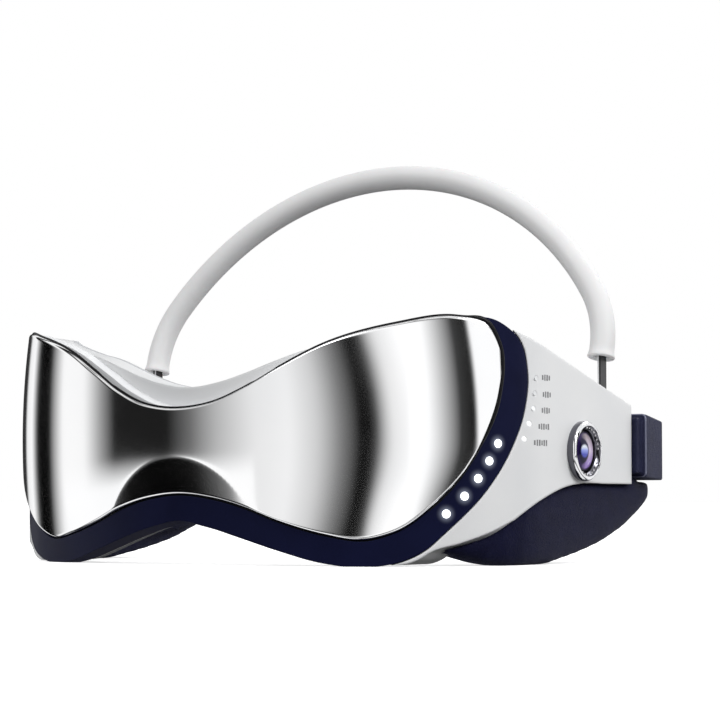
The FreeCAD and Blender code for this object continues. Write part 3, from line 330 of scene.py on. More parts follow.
# %% Hard finishes
mirror = skin("visor_mirror", (25.0, (0.88, 0.885, 0.895), (0.93, 0.93, 0.935)), (60.0, 0.06, 0.1),
              metallic=1.0, details=(3.0, 4.0, 3.0))
shell = skin("shell_white", (40.0, (0.80, 0.81, 0.825), (0.85, 0.855, 0.86)), (90.0, 0.33, 0.45),
             (1400.0, 0.12, 0.0002), soft_edge=0.0011, details=(3.0, 3.0, 2.0), Coat_Weight=0.15,
             Coat_Roughness=0.3)
grey = skin("cover_grey", (80.0, (0.46, 0.47, 0.49), (0.54, 0.55, 0.57)), (150.0, 0.5, 0.7),
            (1500.0, 0.2, 0.0002), soft_edge=0.0005)
frost = skin("panel_frosted", (70.0, (0.80, 0.78, 0.80), (0.90, 0.88, 0.90)), (400.0, 0.35, 0.55),
             (3000.0, 0.2, 0.0001), Transmission_Weight=0.35, IOR=1.45)
foil = skin("inner_metal", (300.0, (0.52, 0.53, 0.55), (0.66, 0.67, 0.69)), (800.0, 0.25, 0.45), metallic=0.9)
board = skin("board_green", (700.0, (0.02, 0.12, 0.05), (0.05, 0.22, 0.10)), (400.0, 0.35, 0.55),
             details=(1.0, 3.0, 3.0))
chip = skin("chip_black", (900.0, (0.012, 0.012, 0.012), (0.035, 0.035, 0.035)), (900.0, 0.4, 0.6))
amber = skin("lamp_amber", (500.0, (0.8, 0.42, 0.2), (0.95, 0.58, 0.3)), 0.3,
             Emission_Color=(1.0, 0.45, 0.2, 1.0), Emission_Strength=0.3)
dress(shell, "wrap_housing")
dress(grey, "inner_cover", "strip_guide_left", "strip_guide_right", "button_carrier", "button_stem")
dress(frost, "light_panel_left", "light_panel_right")
dress(foil, "charge_socket", "vibration_motor_left", "vibration_motor_right", "battery_cell")
dress(board, "control_board", "light_board_left", "light_board_right", "main_board", "band_lamp_flex",
      "mode_lamp_flex")
dress(chip, "control_chips", "main_chips", "button_switch")
dress(amber, "treatment_leds_left", "treatment_leds_right")
print("hard finishes", len(bpy.data.materials))

# %% Strip of the head band, with a bare pale edge
STRIP_FRONT, STRIP_MIDDLE = 0.04218, 0.0974
spring, shader, place = finish("strip_black", (0.02, 0.02, 0.022), 0.35)
worn = tones(noise(place, 300.0), (0.010, 0.010, 0.012), (0.028, 0.028, 0.031))
axes = axes_of(place)
front_face = calc("LESS_THAN", axes["Y"], STRIP_FRONT)
inner_half = calc("LESS_THAN", calc("ABSOLUTE", axes["X"]), STRIP_MIDDLE)
bare_edge = calc("MULTIPLY", front_face, inner_half)
feed(lay_over(bare_edge, worn, (0.75, 0.75, 0.76, 1.0)), shader.inputs["Base Color"])
vary_gloss(shader, noise(place, 700.0), 0.28, 0.48)
bump(shader, noise(place, 2500.0), 0.1, 0.0001)
dress(spring, "band_strip")
print("strip is bare in front of", STRIP_FRONT)

# %% [markdown]
# ## Wrap of the mask
# Seen from above, the mask is a wide arc across the face with a tighter arc at each temple and straight
# wings. Lamps, visor and cushion all follow it, so its sizes are set once here, in millimetres.

# %% Wrap of the mask
HALF_WIDTH, FRONT_RADIUS, CORNER_RADIUS = 103.5, 160.0, 50.33
CORNER_X = HALF_WIDTH - CORNER_RADIUS
FRONT_ANGLE = math.asin(CORNER_X / (FRONT_RADIUS - CORNER_RADIUS))
CORNER_Y = FRONT_RADIUS - (FRONT_RADIUS - CORNER_RADIUS) * math.cos(FRONT_ANGLE)


def wrap_point(angle, depth):
    if angle <= FRONT_ANGLE:
        r = FRONT_RADIUS - depth
        return r * math.sin(angle), FRONT_RADIUS - r * math.cos(angle)
    r = CORNER_RADIUS - depth
    return CORNER_X + r * math.sin(angle), CORNER_Y - r * math.cos(angle)


angles = np.radians(np.linspace(0.0, 90.0, 721))
reaches = np.array([sum(wrap_point(a, 0.0)) * math.sqrt(0.5) for a in angles])
print("corner at", round(CORNER_X, 2), round(CORNER_Y, 2))

# %% [markdown]
# ### Lamps and navy band
# The lamps in the band are lit: white light pipes, bright in the middle and dim at the rim, and the satin
# band round each carries a painted glow, an emission that stands for a little of their light falling on it.
# The middle of each lamp is read from the CAD mesh, and both finishes work by the distance to it. Of the mode
# lamps on the wing the lower two are lit and the third is faint, so theirs works by height. Where the band
# runs hidden along the top of the mask it turns white.

# %% Mode lamps, lit by height
DIM_SCALE, DIM_POWER = 0.07, 0.9
lamp_dim, shader, place = finish("lamp_dim", (0.95, 0.96, 0.97), 0.3, Emission_Color=(1.0, 1.0, 1.0, 1.0))
feed(tones(noise(place, 400.0), (0.86, 0.88, 0.9), (0.92, 0.93, 0.94)), shader.inputs["Base Color"])
lit_share = ramp(calc("DIVIDE", axes_of(place)["Z"], DIM_SCALE),
                 ((0.69, 1.0), (0.71, 0.3), (0.77, 0.3), (0.79, 0.0)))
feed(calc("MULTIPLY", lit_share, DIM_POWER), shader.inputs["Emission Strength"])
dress(lamp_dim, "mode_lamps")
print("mode lamps lit by height")

# %% Middle of each band lamp
LAMP_GAP, LAMP_SKIN = 0.0012, 0.0002


def lamp_middles(node):
    spots = sorted((tuple(v.co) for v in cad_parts[node].data.vertices), key=lambda c: c[2])
    groups = [[spots[0]]]
    for spot in spots[1:]:
        if spot[2] - groups[-1][-1][2] > LAMP_GAP:
            groups.append([])
        groups[-1].append(spot)
    out = []
    for group in groups:
        span = np.array(group)
        facing = span.mean(axis=0) - np.array([CORNER_X, CORNER_Y + Y_SHIFT, 0.0]) * MM
        ahead = span[:, :2] @ facing[:2] / np.linalg.norm(facing[:2])
        face = span[ahead > ahead.max() - LAMP_SKIN]
        out.append(tuple(float(v) for v in (face.min(axis=0) + face.max(axis=0)) / 2.0))
    return out


def near_lamps(place, reach):
    total = None
    for spot in band_lamp_spots:
        away = calc("DIVIDE", vector_calc("DISTANCE", place, spot), reach)
        near = calc("POWER", calc("SUBTRACT", 1.0, away, clamp=True), 2.0)
        total = near if total is None else calc("ADD", total, near)
    return total


band_lamp_spots = lamp_middles("band_lamps")
print("band lamps at", [[round(v, 3) for v in spot] for spot in band_lamp_spots])

# %% Lit lamps, bright in the middle and dim at the rim
LAMP_REACH, LAMP_RIM, LAMP_CORE, LAMP_POWER = 0.0024, 0.1, 0.22, 2.4
lamp_lit, shader, place = finish("lamp_lit", (0.95, 0.97, 1.0), 0.25, Emission_Color=(0.95, 0.97, 1.0, 1.0))
core = near_lamps(place, LAMP_REACH)
feed(ramp(core, ((LAMP_RIM, (0.03, 0.035, 0.09)), (LAMP_CORE, (0.95, 0.97, 1.0)))),
     shader.inputs["Base Color"])
bright = ramp(core, ((LAMP_RIM, 0.02), (LAMP_CORE, 1.0)))
feed(calc("MULTIPLY", bright, LAMP_POWER), shader.inputs["Emission Strength"])
vary_gloss(shader, noise(place, 400.0), 0.2, 0.3)
dress(lamp_lit, "band_lamps")
print("lit lamps", len(band_lamp_spots))

# %% Navy band with the lamps' painted glow
PAINTED_GLOW_REACH, PAINTED_GLOW_POWER, TOP_EDGE, TOP_HALF = 0.0036, 0.55, 0.050, 0.088
navy, shader, place = finish("bezel_navy", (0.005, 0.006, 0.026), 0.4, Specular_IOR_Level=0.12,
                             Specular_Tint=(0.45, 0.52, 1.0, 1.0), Emission_Color=(0.75, 0.82, 1.0, 1.0))
grain = tones(noise(place, 60.0), (0.0042, 0.0050, 0.022), (0.0062, 0.0075, 0.033))
axes = axes_of(place)
across = calc("LESS_THAN", calc("ABSOLUTE", axes["X"]), TOP_HALF)
along_top = calc("MULTIPLY", across, calc("GREATER_THAN", axes["Z"], TOP_EDGE))
feed(lay_over(along_top, grain, (0.78, 0.79, 0.80, 1.0)), shader.inputs["Base Color"])
# Painted glow: emission on the satin band round each lamp stands for the lamps' light falling on it
painted_glow = near_lamps(place, PAINTED_GLOW_REACH)
feed(calc("MULTIPLY", painted_glow, PAINTED_GLOW_POWER), shader.inputs["Emission Strength"])
vary_gloss(shader, noise(place, 120.0), 0.36, 0.48)
bump(shader, noise(place, 1800.0, 2.0), 0.12, 0.0002, soft_edge=0.0005)
dress(navy, "bezel_frame")
print("band glows round", len(band_lamp_spots), "lamps")

# %% [markdown]
# ### Soft finishes
# The cushion, skirts and temple caps wear navy leatherette. Its grain is a cell pattern of about a millimetre
# with a finer noise on top, and a little sheen lightens it at grazing angles. The caps are glossier, as the
# photograph shows. The tube of the head band is white silicone: matt, with a fine dusty noise, and a trace of
# glow stands for the light that wanders through it.

# %% Soft finishes
GRAIN_CELLS, GRAIN_FINE = 1100.0, 3500.0


def leatherette(name, gloss, dark, light):
    material, shader, place = finish(name, dark, 0.5, Specular_IOR_Level=gloss,
                                     Specular_Tint=(0.6, 0.65, 1.0, 1.0), Sheen_Weight=0.03,
                                     Sheen_Roughness=0.4, Sheen_Tint=(0.4, 0.45, 0.9, 1.0))
    cells = add(place.id_data, "ShaderNodeTexVoronoi", Vector=place, Scale=GRAIN_CELLS)
    cells.feature = "DISTANCE_TO_EDGE"
    grain = ramp(cells.outputs["Distance"], ((0.0, 0.0), (0.12, 1.0)))
    pebble = calc("ADD", calc("MULTIPLY", grain, 0.6), noise(place, GRAIN_FINE))
    feed(tones(noise(place, 150.0), dark, light), shader.inputs["Base Color"])
    vary_gloss(shader, pebble, 0.6, 0.42)
    bump(shader, pebble, 0.75, 0.00022)
    return material


leather = leatherette("leather_navy", 0.3, (0.0075, 0.0080, 0.026), (0.0125, 0.0135, 0.042))
soft_leather = leatherette("leather_deep_navy", 0.05, (0.0060, 0.0062, 0.021), (0.0095, 0.0100, 0.034))
# The pale navy of the cap piping is a painted highlight along the cap block's front edge
piping_painted_highlight = skin("piping_painted_highlight_navy", (900.0, (0.12, 0.125, 0.2), (0.19, 0.2, 0.29)), (1500.0, 0.28, 0.42),
              Specular_IOR_Level=0.5)
silicone = skin("silicone_white", (60.0, (0.64, 0.64, 0.645), (0.68, 0.68, 0.685)), (500.0, 0.48, 0.62),
                (2500.0, 0.15, 0.00015), Subsurface_Weight=0.05, Subsurface_Scale=0.002,
                Emission_Color=(1.0, 1.0, 1.0, 1.0), Emission_Strength=0.1)
print("soft finishes", [m.name for m in (leather, soft_leather, piping_painted_highlight, silicone)])

# %% [markdown]
# ## Modelling helpers
# Every new piece starts from a primitive or from a copy of its CAD solid, and ends at the origin with its
# place in the mesh. These helpers start one piece, select it alone, apply its modifiers in order, shade it,
# and hand it to its CAD body. A round bead is a closed line made a curve with a bevel, and then a mesh again.

# %% Start, edit and settle a piece
def only(piece):
    bpy.ops.object.select_all(action="DESELECT")
    piece.select_set(True)
    bpy.context.view_layer.objects.active = piece


def edit(piece):
    only(piece)
    bpy.ops.object.mode_set(mode="EDIT")
    bpy.ops.mesh.select_all(action="SELECT")


def leave():
    bpy.ops.object.mode_set(mode="OBJECT")


def start(primitive, name, **settings):
    bpy.ops.object.select_all(action="DESELECT")
    primitive(**settings)
    piece = bpy.context.object
    piece.name = name
    return piece


def settle(piece):
    only(piece)
    bpy.ops.object.transform_apply(location=True, rotation=True, scale=True)
    for modifier in list(piece.modifiers):
        bpy.ops.object.modifier_apply(modifier=modifier.name)


# %% Shade, calm, refine and hand over a piece
def smooth(piece, angle=None):
    only(piece)
    if angle is None:
        bpy.ops.object.shade_smooth()
    else:
        bpy.ops.object.shade_smooth_by_angle(angle=math.radians(angle))


def calm(piece, passes):
    piece.modifiers.new("calm", "SMOOTH").iterations = passes


def subdivide(piece, levels, kind="CATMULL_CLARK"):
    finer = piece.modifiers.new("finer", "SUBSURF")
    finer.subdivision_type = kind
    finer.levels = finer.render_levels = levels


def hand_over(piece, material, slot, body, *nodes):
    piece.data.materials.clear()
    piece.data.materials.append(material)
    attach(piece, body)
    if nodes:
        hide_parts(*nodes)
    print(piece.name, "faces", len(piece.data.polygons))


# %% Outward faces, beads and joined bars
WELD = 0.000005


def outward(piece):
    edit(piece)
    bpy.ops.mesh.remove_doubles(threshold=WELD)
    bpy.ops.mesh.normals_make_consistent(inside=False)
    leave()


def bead_of(line, radius, rings, swell=()):
    only(line)
    bpy.ops.object.convert(target="CURVE")
    bead = bpy.context.object
    for point, width in zip(bead.data.splines[0].points, swell):
        point.radius = width
    bead.data.bevel_depth = radius
    bead.data.bevel_resolution = rings
    bpy.ops.object.convert(target="MESH")
    bead = bpy.context.object
    outward(bead)
    smooth(bead)
    return bead


def join(bars, name):
    only(bars[0])
    for bar in bars:
        bar.select_set(True)
    bpy.ops.object.join()
    bpy.context.object.name = name
    return bpy.context.object


def unit(value):
    return min(max(value, 0.0), 1.0)


print("modelling helpers ready")

# %% [markdown]
# ## The mirrored visor
# The visor is one sheet of mirror that follows the wrap of the mask, with a wave cut along its top and bottom
# and a scooped facet over the nose. A mirror shows every facet of a coarse mesh, so a fine grid is bent into
# the shape: its columns run round the wrap and its rows from the lower to the upper wave.

# %% Wave outline of the visor
VISOR_TOP, VISOR_DIP, VISOR_NOSE, VISOR_LOW = 81.2, 52.1, 23.6, 8.6
VISOR_END, OUTLINE_POINTS = math.radians(64.7), 900
TOP_WAVE = ((0.0, 0.0), (0.1, 0.055), (0.2, 0.223), (0.3, 0.443), (0.437, 0.70), (0.655, 0.917), (0.857, 1.0))
END_WAVE = ((0.957, 0.971), (0.995, 0.88), (0.987, 0.647), (0.946, 0.486), (0.879, 0.317), (0.782, 0.167),
            (0.653, 0.037), (0.545, 0.0))
LOW_WAVE = ((0.437, 0.113), (0.3, 0.40), (0.2, 0.693), (0.1, 0.907), (0.0, 1.0))


def flow(points, count):
    pts = np.array(points)
    chord = np.concatenate([[0.0], np.cumsum(np.linalg.norm(np.diff(pts, axis=0), axis=1))])
    slope = np.gradient(pts, chord, axis=0)
    slope[0], slope[-1] = (1.0, 0.0), (-1.0, 0.0)
    out = []
    for t in np.linspace(0.0, chord[-1], count):
        i = min(int(np.searchsorted(chord, t, "right")) - 1, len(pts) - 2)
        h = chord[i + 1] - chord[i]
        s = (t - chord[i]) / h
        out.append((2 * s ** 3 - 3 * s ** 2 + 1) * pts[i] + (s ** 3 - 2 * s ** 2 + s) * h * slope[i]
                   + (3 * s ** 2 - 2 * s ** 3) * pts[i + 1] + (s ** 3 - s ** 2) * h * slope[i + 1])
    return np.array(out)


def turn_at(reach):
    return float(np.interp(reach, reaches, angles))


visor_reach = float(np.interp(VISOR_END, angles, reaches))
wave = [(u * visor_reach, VISOR_DIP + (VISOR_TOP - VISOR_DIP) * t) for u, t in TOP_WAVE]
wave += [(u * visor_reach, VISOR_LOW + (VISOR_TOP - VISOR_LOW) * t) for u, t in END_WAVE]
wave += [(u * visor_reach, VISOR_LOW + (VISOR_NOSE - VISOR_LOW) * t) for u, t in LOW_WAVE]
outline = flow(wave, OUTLINE_POINTS)
tip = int(outline[:, 0].argmax())
upper_wave, lower_wave = outline[:tip + 1], outline[tip:][::-1]
TIP_REACH = float(outline[tip, 0])
print("visor reaches", round(TIP_REACH, 1), "mm along the skewed plane")

# %% Place of a point of the visor
VISOR_FACE, CROWN_RADIUS, MID_HEIGHT = -1.9, 300.0, 44.9
FACET_APEX, FACET_SLOPE, FACET_BOW, FACET_BLEND = 36.5, 0.155, 400.0, 0.003
RIM_ROUND, TIP_SLANT = 0.9, 1.2
COLUMN_CROWD, ROW_CROWD, ROW_EVEN = 0.9, 0.55, 0.225


def reach_of(s):
    return TIP_REACH * math.sin(abs(s) * math.pi / 2.0) ** COLUMN_CROWD


def visor_place(s, v):
    reach = reach_of(s)
    turn = turn_at(reach)
    top = float(np.interp(reach, upper_wave[:, 0], upper_wave[:, 1]))
    low = float(np.interp(reach, lower_wave[:, 0], lower_wave[:, 1]))
    share = 0.5 + 0.5 * math.sin(v * math.pi / 2.0) * ROW_CROWD + ROW_EVEN * v
    z = low + (top - low) * share
    depth = VISOR_FACE + (z - MID_HEIGHT) ** 2 / (2.0 * CROWN_RADIUS)
    x, y = wrap_point(turn, depth)
    facet = VISOR_FACE + (FACET_APEX - z) * FACET_SLOPE + x * x / (2.0 * FACET_BOW)
    gap = facet - y
    y = y + 0.5 * (gap + math.sqrt(gap * gap + FACET_BLEND))
    edge = min(z - low, top - z, (TIP_REACH - reach) * TIP_SLANT)
    if edge < RIM_ROUND:
        inward = RIM_ROUND - math.sqrt(max(RIM_ROUND ** 2 - (RIM_ROUND - max(edge, 0.0)) ** 2, 0.0))
        x, y = x - inward * math.sin(turn), y + inward * math.cos(turn)
    return (math.copysign(x, s) * MM, (y + Y_SHIFT) * MM, z * MM)


print("nose of the visor at", [round(v, 4) for v in visor_place(0.0, 0.0)])

# %% Bend a grid into the visor
COLUMNS, ROWS, SHEET = 320, 96, 0.0018
visor = start(bpy.ops.mesh.primitive_grid_add, "visor_mirror_sheet", x_subdivisions=COLUMNS,
              y_subdivisions=ROWS, size=2.0)
for vertex in visor.data.vertices:
    vertex.co = visor_place(vertex.co.x, vertex.co.y)
outward(visor)
middle = min(visor.data.polygons, key=lambda f: abs(f.center.x) + abs(f.center.z - MID_HEIGHT * MM))
if middle.normal.y > 0:
    visor.data.flip_normals()
smooth(visor)
thick = visor.modifiers.new("thickness", "SOLIDIFY")
thick.thickness = SHEET
thick.offset = -1.0
settle(visor)
smooth(visor, 50.0)
hand_over(visor, mirror, "visor_mirror", "mask", "front_visor")

# %% [markdown]
# ### Black seal round the visor, laid as painted shade
# A glossy black bead shows as a dark line between the mirror and the navy band: it is painted shade, a dark
# thing laid in the gap where shade falls. A circle of many points is laid along the visor's edge and made a
# curve with a round bevel, and each point has its own radius, because the seal is widest at the temples.

# %% Line of the seal
SEAL_THIN, SEAL_WIDE, SEAL_POINTS = 0.5, 1.1, 240
SEAL_FROM, SEAL_GROW, SEAL_OUT = 0.87, 0.11, 0.9
SHOWN_TOP, SHOWN_LOW, SET_BACK, LOW_BACK = 0.1, 0.45, 0.5, 0.6
LOBE_X, LOBE_Z, NOSE_PART = 0.05, 0.045, 0.3
# Black of the seal: painted shade, a dark bead laid in the gap between mirror and band where shade falls
seal_painted_shade = skin("seal_painted_shade_black", (200.0, (0.003, 0.003, 0.004), (0.006, 0.006, 0.008)), (500.0, 0.24, 0.36),
                   Specular_IOR_Level=0.12)
edge_row = [(s, 1.0) for s in np.linspace(-1.0, 1.0, SEAL_POINTS, endpoint=False)]
edge_row += [(s, -1.0) for s in np.linspace(1.0, -1.0, SEAL_POINTS, endpoint=False)]
edge = [Vector(visor_place(s, v)) for s, v in edge_row]
shade_seal_line = start(bpy.ops.mesh.primitive_circle_add, "visor_shade_seal", vertices=len(edge), radius=0.05)
widths = []
for i, (s, v) in enumerate(edge_row):
    reach = reach_of(s)
    turn = math.copysign(turn_at(reach), s)
    share = unit((reach / TIP_REACH - SEAL_FROM) / SEAL_GROW)
    share = share * share * (3.0 - 2.0 * share)
    ahead = Vector((math.sin(turn), -math.cos(turn), 0.0))
    away = (edge[(i + 1) % len(edge)] - edge[i - 1]).cross(ahead).normalized()
    lobe = Vector((math.copysign(LOBE_X, s) if abs(s) > NOSE_PART else 0.0, edge[i].y, LOBE_Z))
    if away.dot(edge[i] - lobe) < 0.0:
        away.negate()
    widths.append(SEAL_THIN + (SEAL_WIDE - SEAL_THIN) * share)
    shown = SHOWN_TOP if v > 0.0 else SHOWN_LOW
    set_back = SET_BACK if v > 0.0 else SET_BACK + LOW_BACK * (1.0 - share)
    shade_seal_line.data.vertices[i].co = edge[i] + (away * max(SEAL_OUT * share, shown) - ahead * set_back) * MM
shade_seal = bead_of(shade_seal_line, MM, 3, widths)
hand_over(shade_seal, seal_painted_shade, "chip_black", "mask")

# %% [markdown]
# ## Soft copies
# A soft piece is best started from its CAD solid: the copy is welded, remeshed into even little squares, and
# smoothed until its edges look pressed from foam. It then takes a short cloth simulation with a little
# pressure, as if the foam pushed its cover out, and the swelling is capped so that it stays in its place.

# %% Soft copy of a CAD solid
def soft_copy(node, name, voxel, passes):
    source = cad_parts[node]
    piece = bpy.data.objects.new(name, source.data.copy())
    scene.collection.objects.link(piece)
    outward(piece)
    remesh = piece.modifiers.new("even_skin", "REMESH")
    remesh.mode = "VOXEL"
    remesh.voxel_size = voxel
    calm(piece, passes)
    settle(piece)
    return piece


# %% Swell a soft copy
PRESSURE, STEPS = 3.0, 20


def puff(piece, cap, held):
    start_place = np.array([v.co for v in piece.data.vertices])
    pins = piece.vertex_groups.new(name="held")
    pins.add([i for i, co in enumerate(start_place) if held(co)], 1.0, "REPLACE")
    cloth = piece.modifiers.new("stuffing", "CLOTH")
    cloth.settings.quality = 4
    cloth.settings.use_pressure = True
    cloth.settings.uniform_pressure_force = PRESSURE
    cloth.settings.effector_weights.gravity = 0.0
    cloth.settings.vertex_group_mass = "held"
    cloth.collision_settings.use_collision = False
    cloth.point_cache.frame_start, cloth.point_cache.frame_end = 1, STEPS
    for step in range(1, STEPS + 1):
        scene.frame_set(step)
    settle(piece)
    scene.frame_set(1)
    now = np.array([v.co for v in piece.data.vertices])
    move = now - start_place
    far = np.linalg.norm(move, axis=1, keepdims=True)
    kept = start_place + move * np.minimum(1.0, cap / np.maximum(far, 1e-9))
    piece.data.vertices.foreach_set("co", kept.astype(np.float32).ravel())
    piece.data.update()
    print(piece.name, "swelled at most", round(float(np.minimum(far, cap).max()) / MM, 2), "mm")


# %% [markdown]
# ### Face cushion
# The cushion is a thick ring of foam round both eyes, glued to the cover behind it. Its glued side is held in
# the simulation by its depth behind the wrap of the mask, and the rest swells by about a millimetre.

# %% Face cushion
GLUED_DEPTH, CUSHION_SWELL = 19.6, 0.0012
cushion = soft_copy("face_cushion", "face_cushion_pad", 0.0017, 12)


def on_cover(co):
    x, y = abs(co[0]) / MM, co[1] / MM - Y_SHIFT
    if y > CORNER_Y:
        return HALF_WIDTH - x < GLUED_DEPTH
    if x * math.cos(FRONT_ANGLE) < (FRONT_RADIUS - y) * math.sin(FRONT_ANGLE):
        return FRONT_RADIUS - math.hypot(x, FRONT_RADIUS - y) < GLUED_DEPTH
    return CORNER_RADIUS - math.hypot(x - CORNER_X, CORNER_Y - y) < GLUED_DEPTH


puff(cushion, CUSHION_SWELL, on_cover)
subdivide(cushion, 1)
settle(cushion)
smooth(cushion)
hand_over(cushion, soft_leather, "cushion_navy", "mask", "face_cushion")

# %% [markdown]
# ### Sewn edge of the eye windows
# Each eye window of the cushion is edged with a bead of piping and a row of stitches. A circle is stretched
# to the window, set back to the cushion's face by the wrap of the mask, and drawn onto it by a Shrinkwrap
# modifier. The bead is that line with a round bevel. The stitches are copies of one small capsule laid along
# a second, wider line.

# %% Line round an eye window
WINDOW_X, WINDOW_Z, WINDOW_WIDE, WINDOW_TALL = 40.0, 43.0, 30.0, 19.0
FACE_DEPTH = 27.0


def face_y(x):
    flat_arc, end_arc = FRONT_RADIUS - FACE_DEPTH, CORNER_RADIUS - FACE_DEPTH
    if x < flat_arc * math.sin(FRONT_ANGLE):
        return FRONT_RADIUS - math.sqrt(flat_arc ** 2 - x * x)
    return CORNER_Y - math.sqrt(max(end_arc ** 2 - (x - CORNER_X) ** 2, 0.0))


def window_line(name, side, margin):
    loop = start(bpy.ops.mesh.primitive_circle_add, name, vertices=160, radius=1.0,
                 rotation=(math.pi / 2.0, 0, 0), location=(side * WINDOW_X * MM, 0, WINDOW_Z * MM))
    loop.scale = ((WINDOW_WIDE + margin) * MM, (WINDOW_TALL + margin) * MM, 1.0)
    settle(loop)
    for vertex in loop.data.vertices:
        vertex.co.y = (face_y(abs(vertex.co.x) / MM) + Y_SHIFT) * MM
    wrap = loop.modifiers.new("on_cushion", "SHRINKWRAP")
    wrap.target = cushion
    wrap.wrap_method = "NEAREST_SURFACEPOINT"
    calm(loop, 4)
    settle(loop)
    return loop


# %% Lay stitches along a line
STITCH_PITCH, STITCH_SIZE, STITCH_LIFT = 0.0031, (0.0021, 0.0006, 0.0005), 0.15
thread = skin("thread_blue", (2500.0, (0.045, 0.05, 0.12), (0.09, 0.10, 0.2)), (2500.0, 0.6, 0.8))


def lay_stitches(name, line):
    path = [Vector(v.co) for v in line.data.vertices]
    path.append(path[0])
    runs = [(b - a).length for a, b in zip(path, path[1:])]
    count = max(int(sum(runs) / STITCH_PITCH), 8)
    capsule = start(bpy.ops.mesh.primitive_uv_sphere_add, name, segments=8, ring_count=6, radius=0.5)
    shape = np.array([v.co for v in capsule.data.vertices]) * np.array(STITCH_SIZE)
    faces = [tuple(f.vertices) for f in capsule.data.polygons]
    bpy.data.objects.remove(capsule)
    points, polys, at, done = [], [], 0, 0.0
    for k in range(count):
        goal = sum(runs) * k / count
        while done + runs[at] < goal:
            done += runs[at]
            at += 1
        spot = path[at].lerp(path[at + 1], (goal - done) / runs[at])
        along = (path[at + 1] - path[at]).normalized()
        _, place, normal, _ = cushion.closest_point_on_mesh(spot)
        side = along.cross(normal).normalized()
        axes = np.array([along, side, along.cross(side)])
        polys += [tuple(i + len(points) for i in f) for f in faces]
        points += [tuple(q) for q in shape @ axes + np.array(place + normal * STITCH_SIZE[2] * STITCH_LIFT)]
    mesh = bpy.data.meshes.new(name)
    mesh.from_pydata(points, [], polys)
    row = bpy.data.objects.new(name, mesh)
    scene.collection.objects.link(row)
    outward(row)
    smooth(row)
    hand_over(row, thread, "cushion_navy", "mask")


# %% Piping and stitches of both windows
SEAM_MARGIN, BEAD_MARGIN, BEAD_RADIUS = 3.6, 1.0, 0.0008
for side, name in ((-1, "left"), (1, "right")):
    seam = window_line("window_seam_" + name, side, SEAM_MARGIN)
    lay_stitches("window_stitches_" + name, seam)
    bpy.data.objects.remove(seam)
    bead = bead_of(window_line("window_piping_" + name, side, BEAD_MARGIN), BEAD_RADIUS, 4)
    hand_over(bead, leather, "cushion_navy", "mask")

# %% [markdown]
# ### Side skirts
# A soft skirt hangs under each wing and carries the mask on the table. It swells like the cushion, held
# where it meets the shell and the table. Then its points are moved as a hand would sculpt them: the neck
# rises under the temple cap, and the hem sags between the table and the tail, as filled leatherette does.

# %% Side skirts
SKIRT_SWELL = 0.0014
SHELL_EDGE, SHELL_INSIDE, TABLE_SKIN = 0.0225, 0.0885, 0.0006
NECK_FROM, NECK_IN, NECK_TO, NECK_OUT = 53.5, 4.0, 66.0, 6.0
NECK_RISE, NECK_FOOT, NECK_TALL = 3.4, 23.0, 5.0
HEM_SAG, HEM_SLOPE, HEM_AHEAD, HEM_TALL, SAG_AHEAD, SAG_LONG = 2.0, 0.238, 2.0, 12.0, 4.0, 72.0


def on_shell(co):
    return co[2] > SHELL_EDGE or abs(co[0]) < SHELL_INSIDE or co[2] < TABLE_SKIN


for side in ("left", "right"):
    skirt = soft_copy("side_skirt_" + side, "side_skirt_pad_" + side, 0.0014, 14)
    puff(skirt, SKIRT_SWELL, on_shell)
    for vertex in skirt.data.vertices:
        back, rise = vertex.co.y / MM, vertex.co.z / MM
        neck = unit((back - NECK_FROM) / NECK_IN) * unit((NECK_TO - back) / NECK_OUT)
        hem = unit(1.0 - (rise - max(HEM_SLOPE * (back + HEM_AHEAD), 0.0)) / HEM_TALL)
        sag = HEM_SAG * hem * math.sin(math.pi * unit((back + SAG_AHEAD) / SAG_LONG))
        vertex.co.z = max(vertex.co.z - sag * MM, 0.0)
        vertex.co.z += neck * NECK_RISE * unit((rise - NECK_FOOT) / NECK_TALL) * MM
    subdivide(skirt, 1)
    settle(skirt)
    smooth(skirt)
    hand_over(skirt, soft_leather, "cushion_navy", "mask", "side_skirt_" + side)

# %% [markdown]
# ## Temple caps
# At the end of each wing sits a leatherette block with a narrower collar toward the wing. A cube is sized to
# the CAD cap, its front part is split off by bisect and pulled in for the collar, and the edges are rounded
# by a bevel. A thin bead of piping follows the edge of the block: a plane with rounded corners gives its
# line, and its pale navy is a painted highlight along the block's front edge.

# %% Block of a temple cap
COLLAR, COLLAR_STEP, COLLAR_SLOPE = 0.0039, 0.0015, 0.0006
TOP_DROP, FOOT_LIFT, CAP_ROUND, NEAR_SIDE = 0.0024, 0.0010, 0.0017, 0.0005


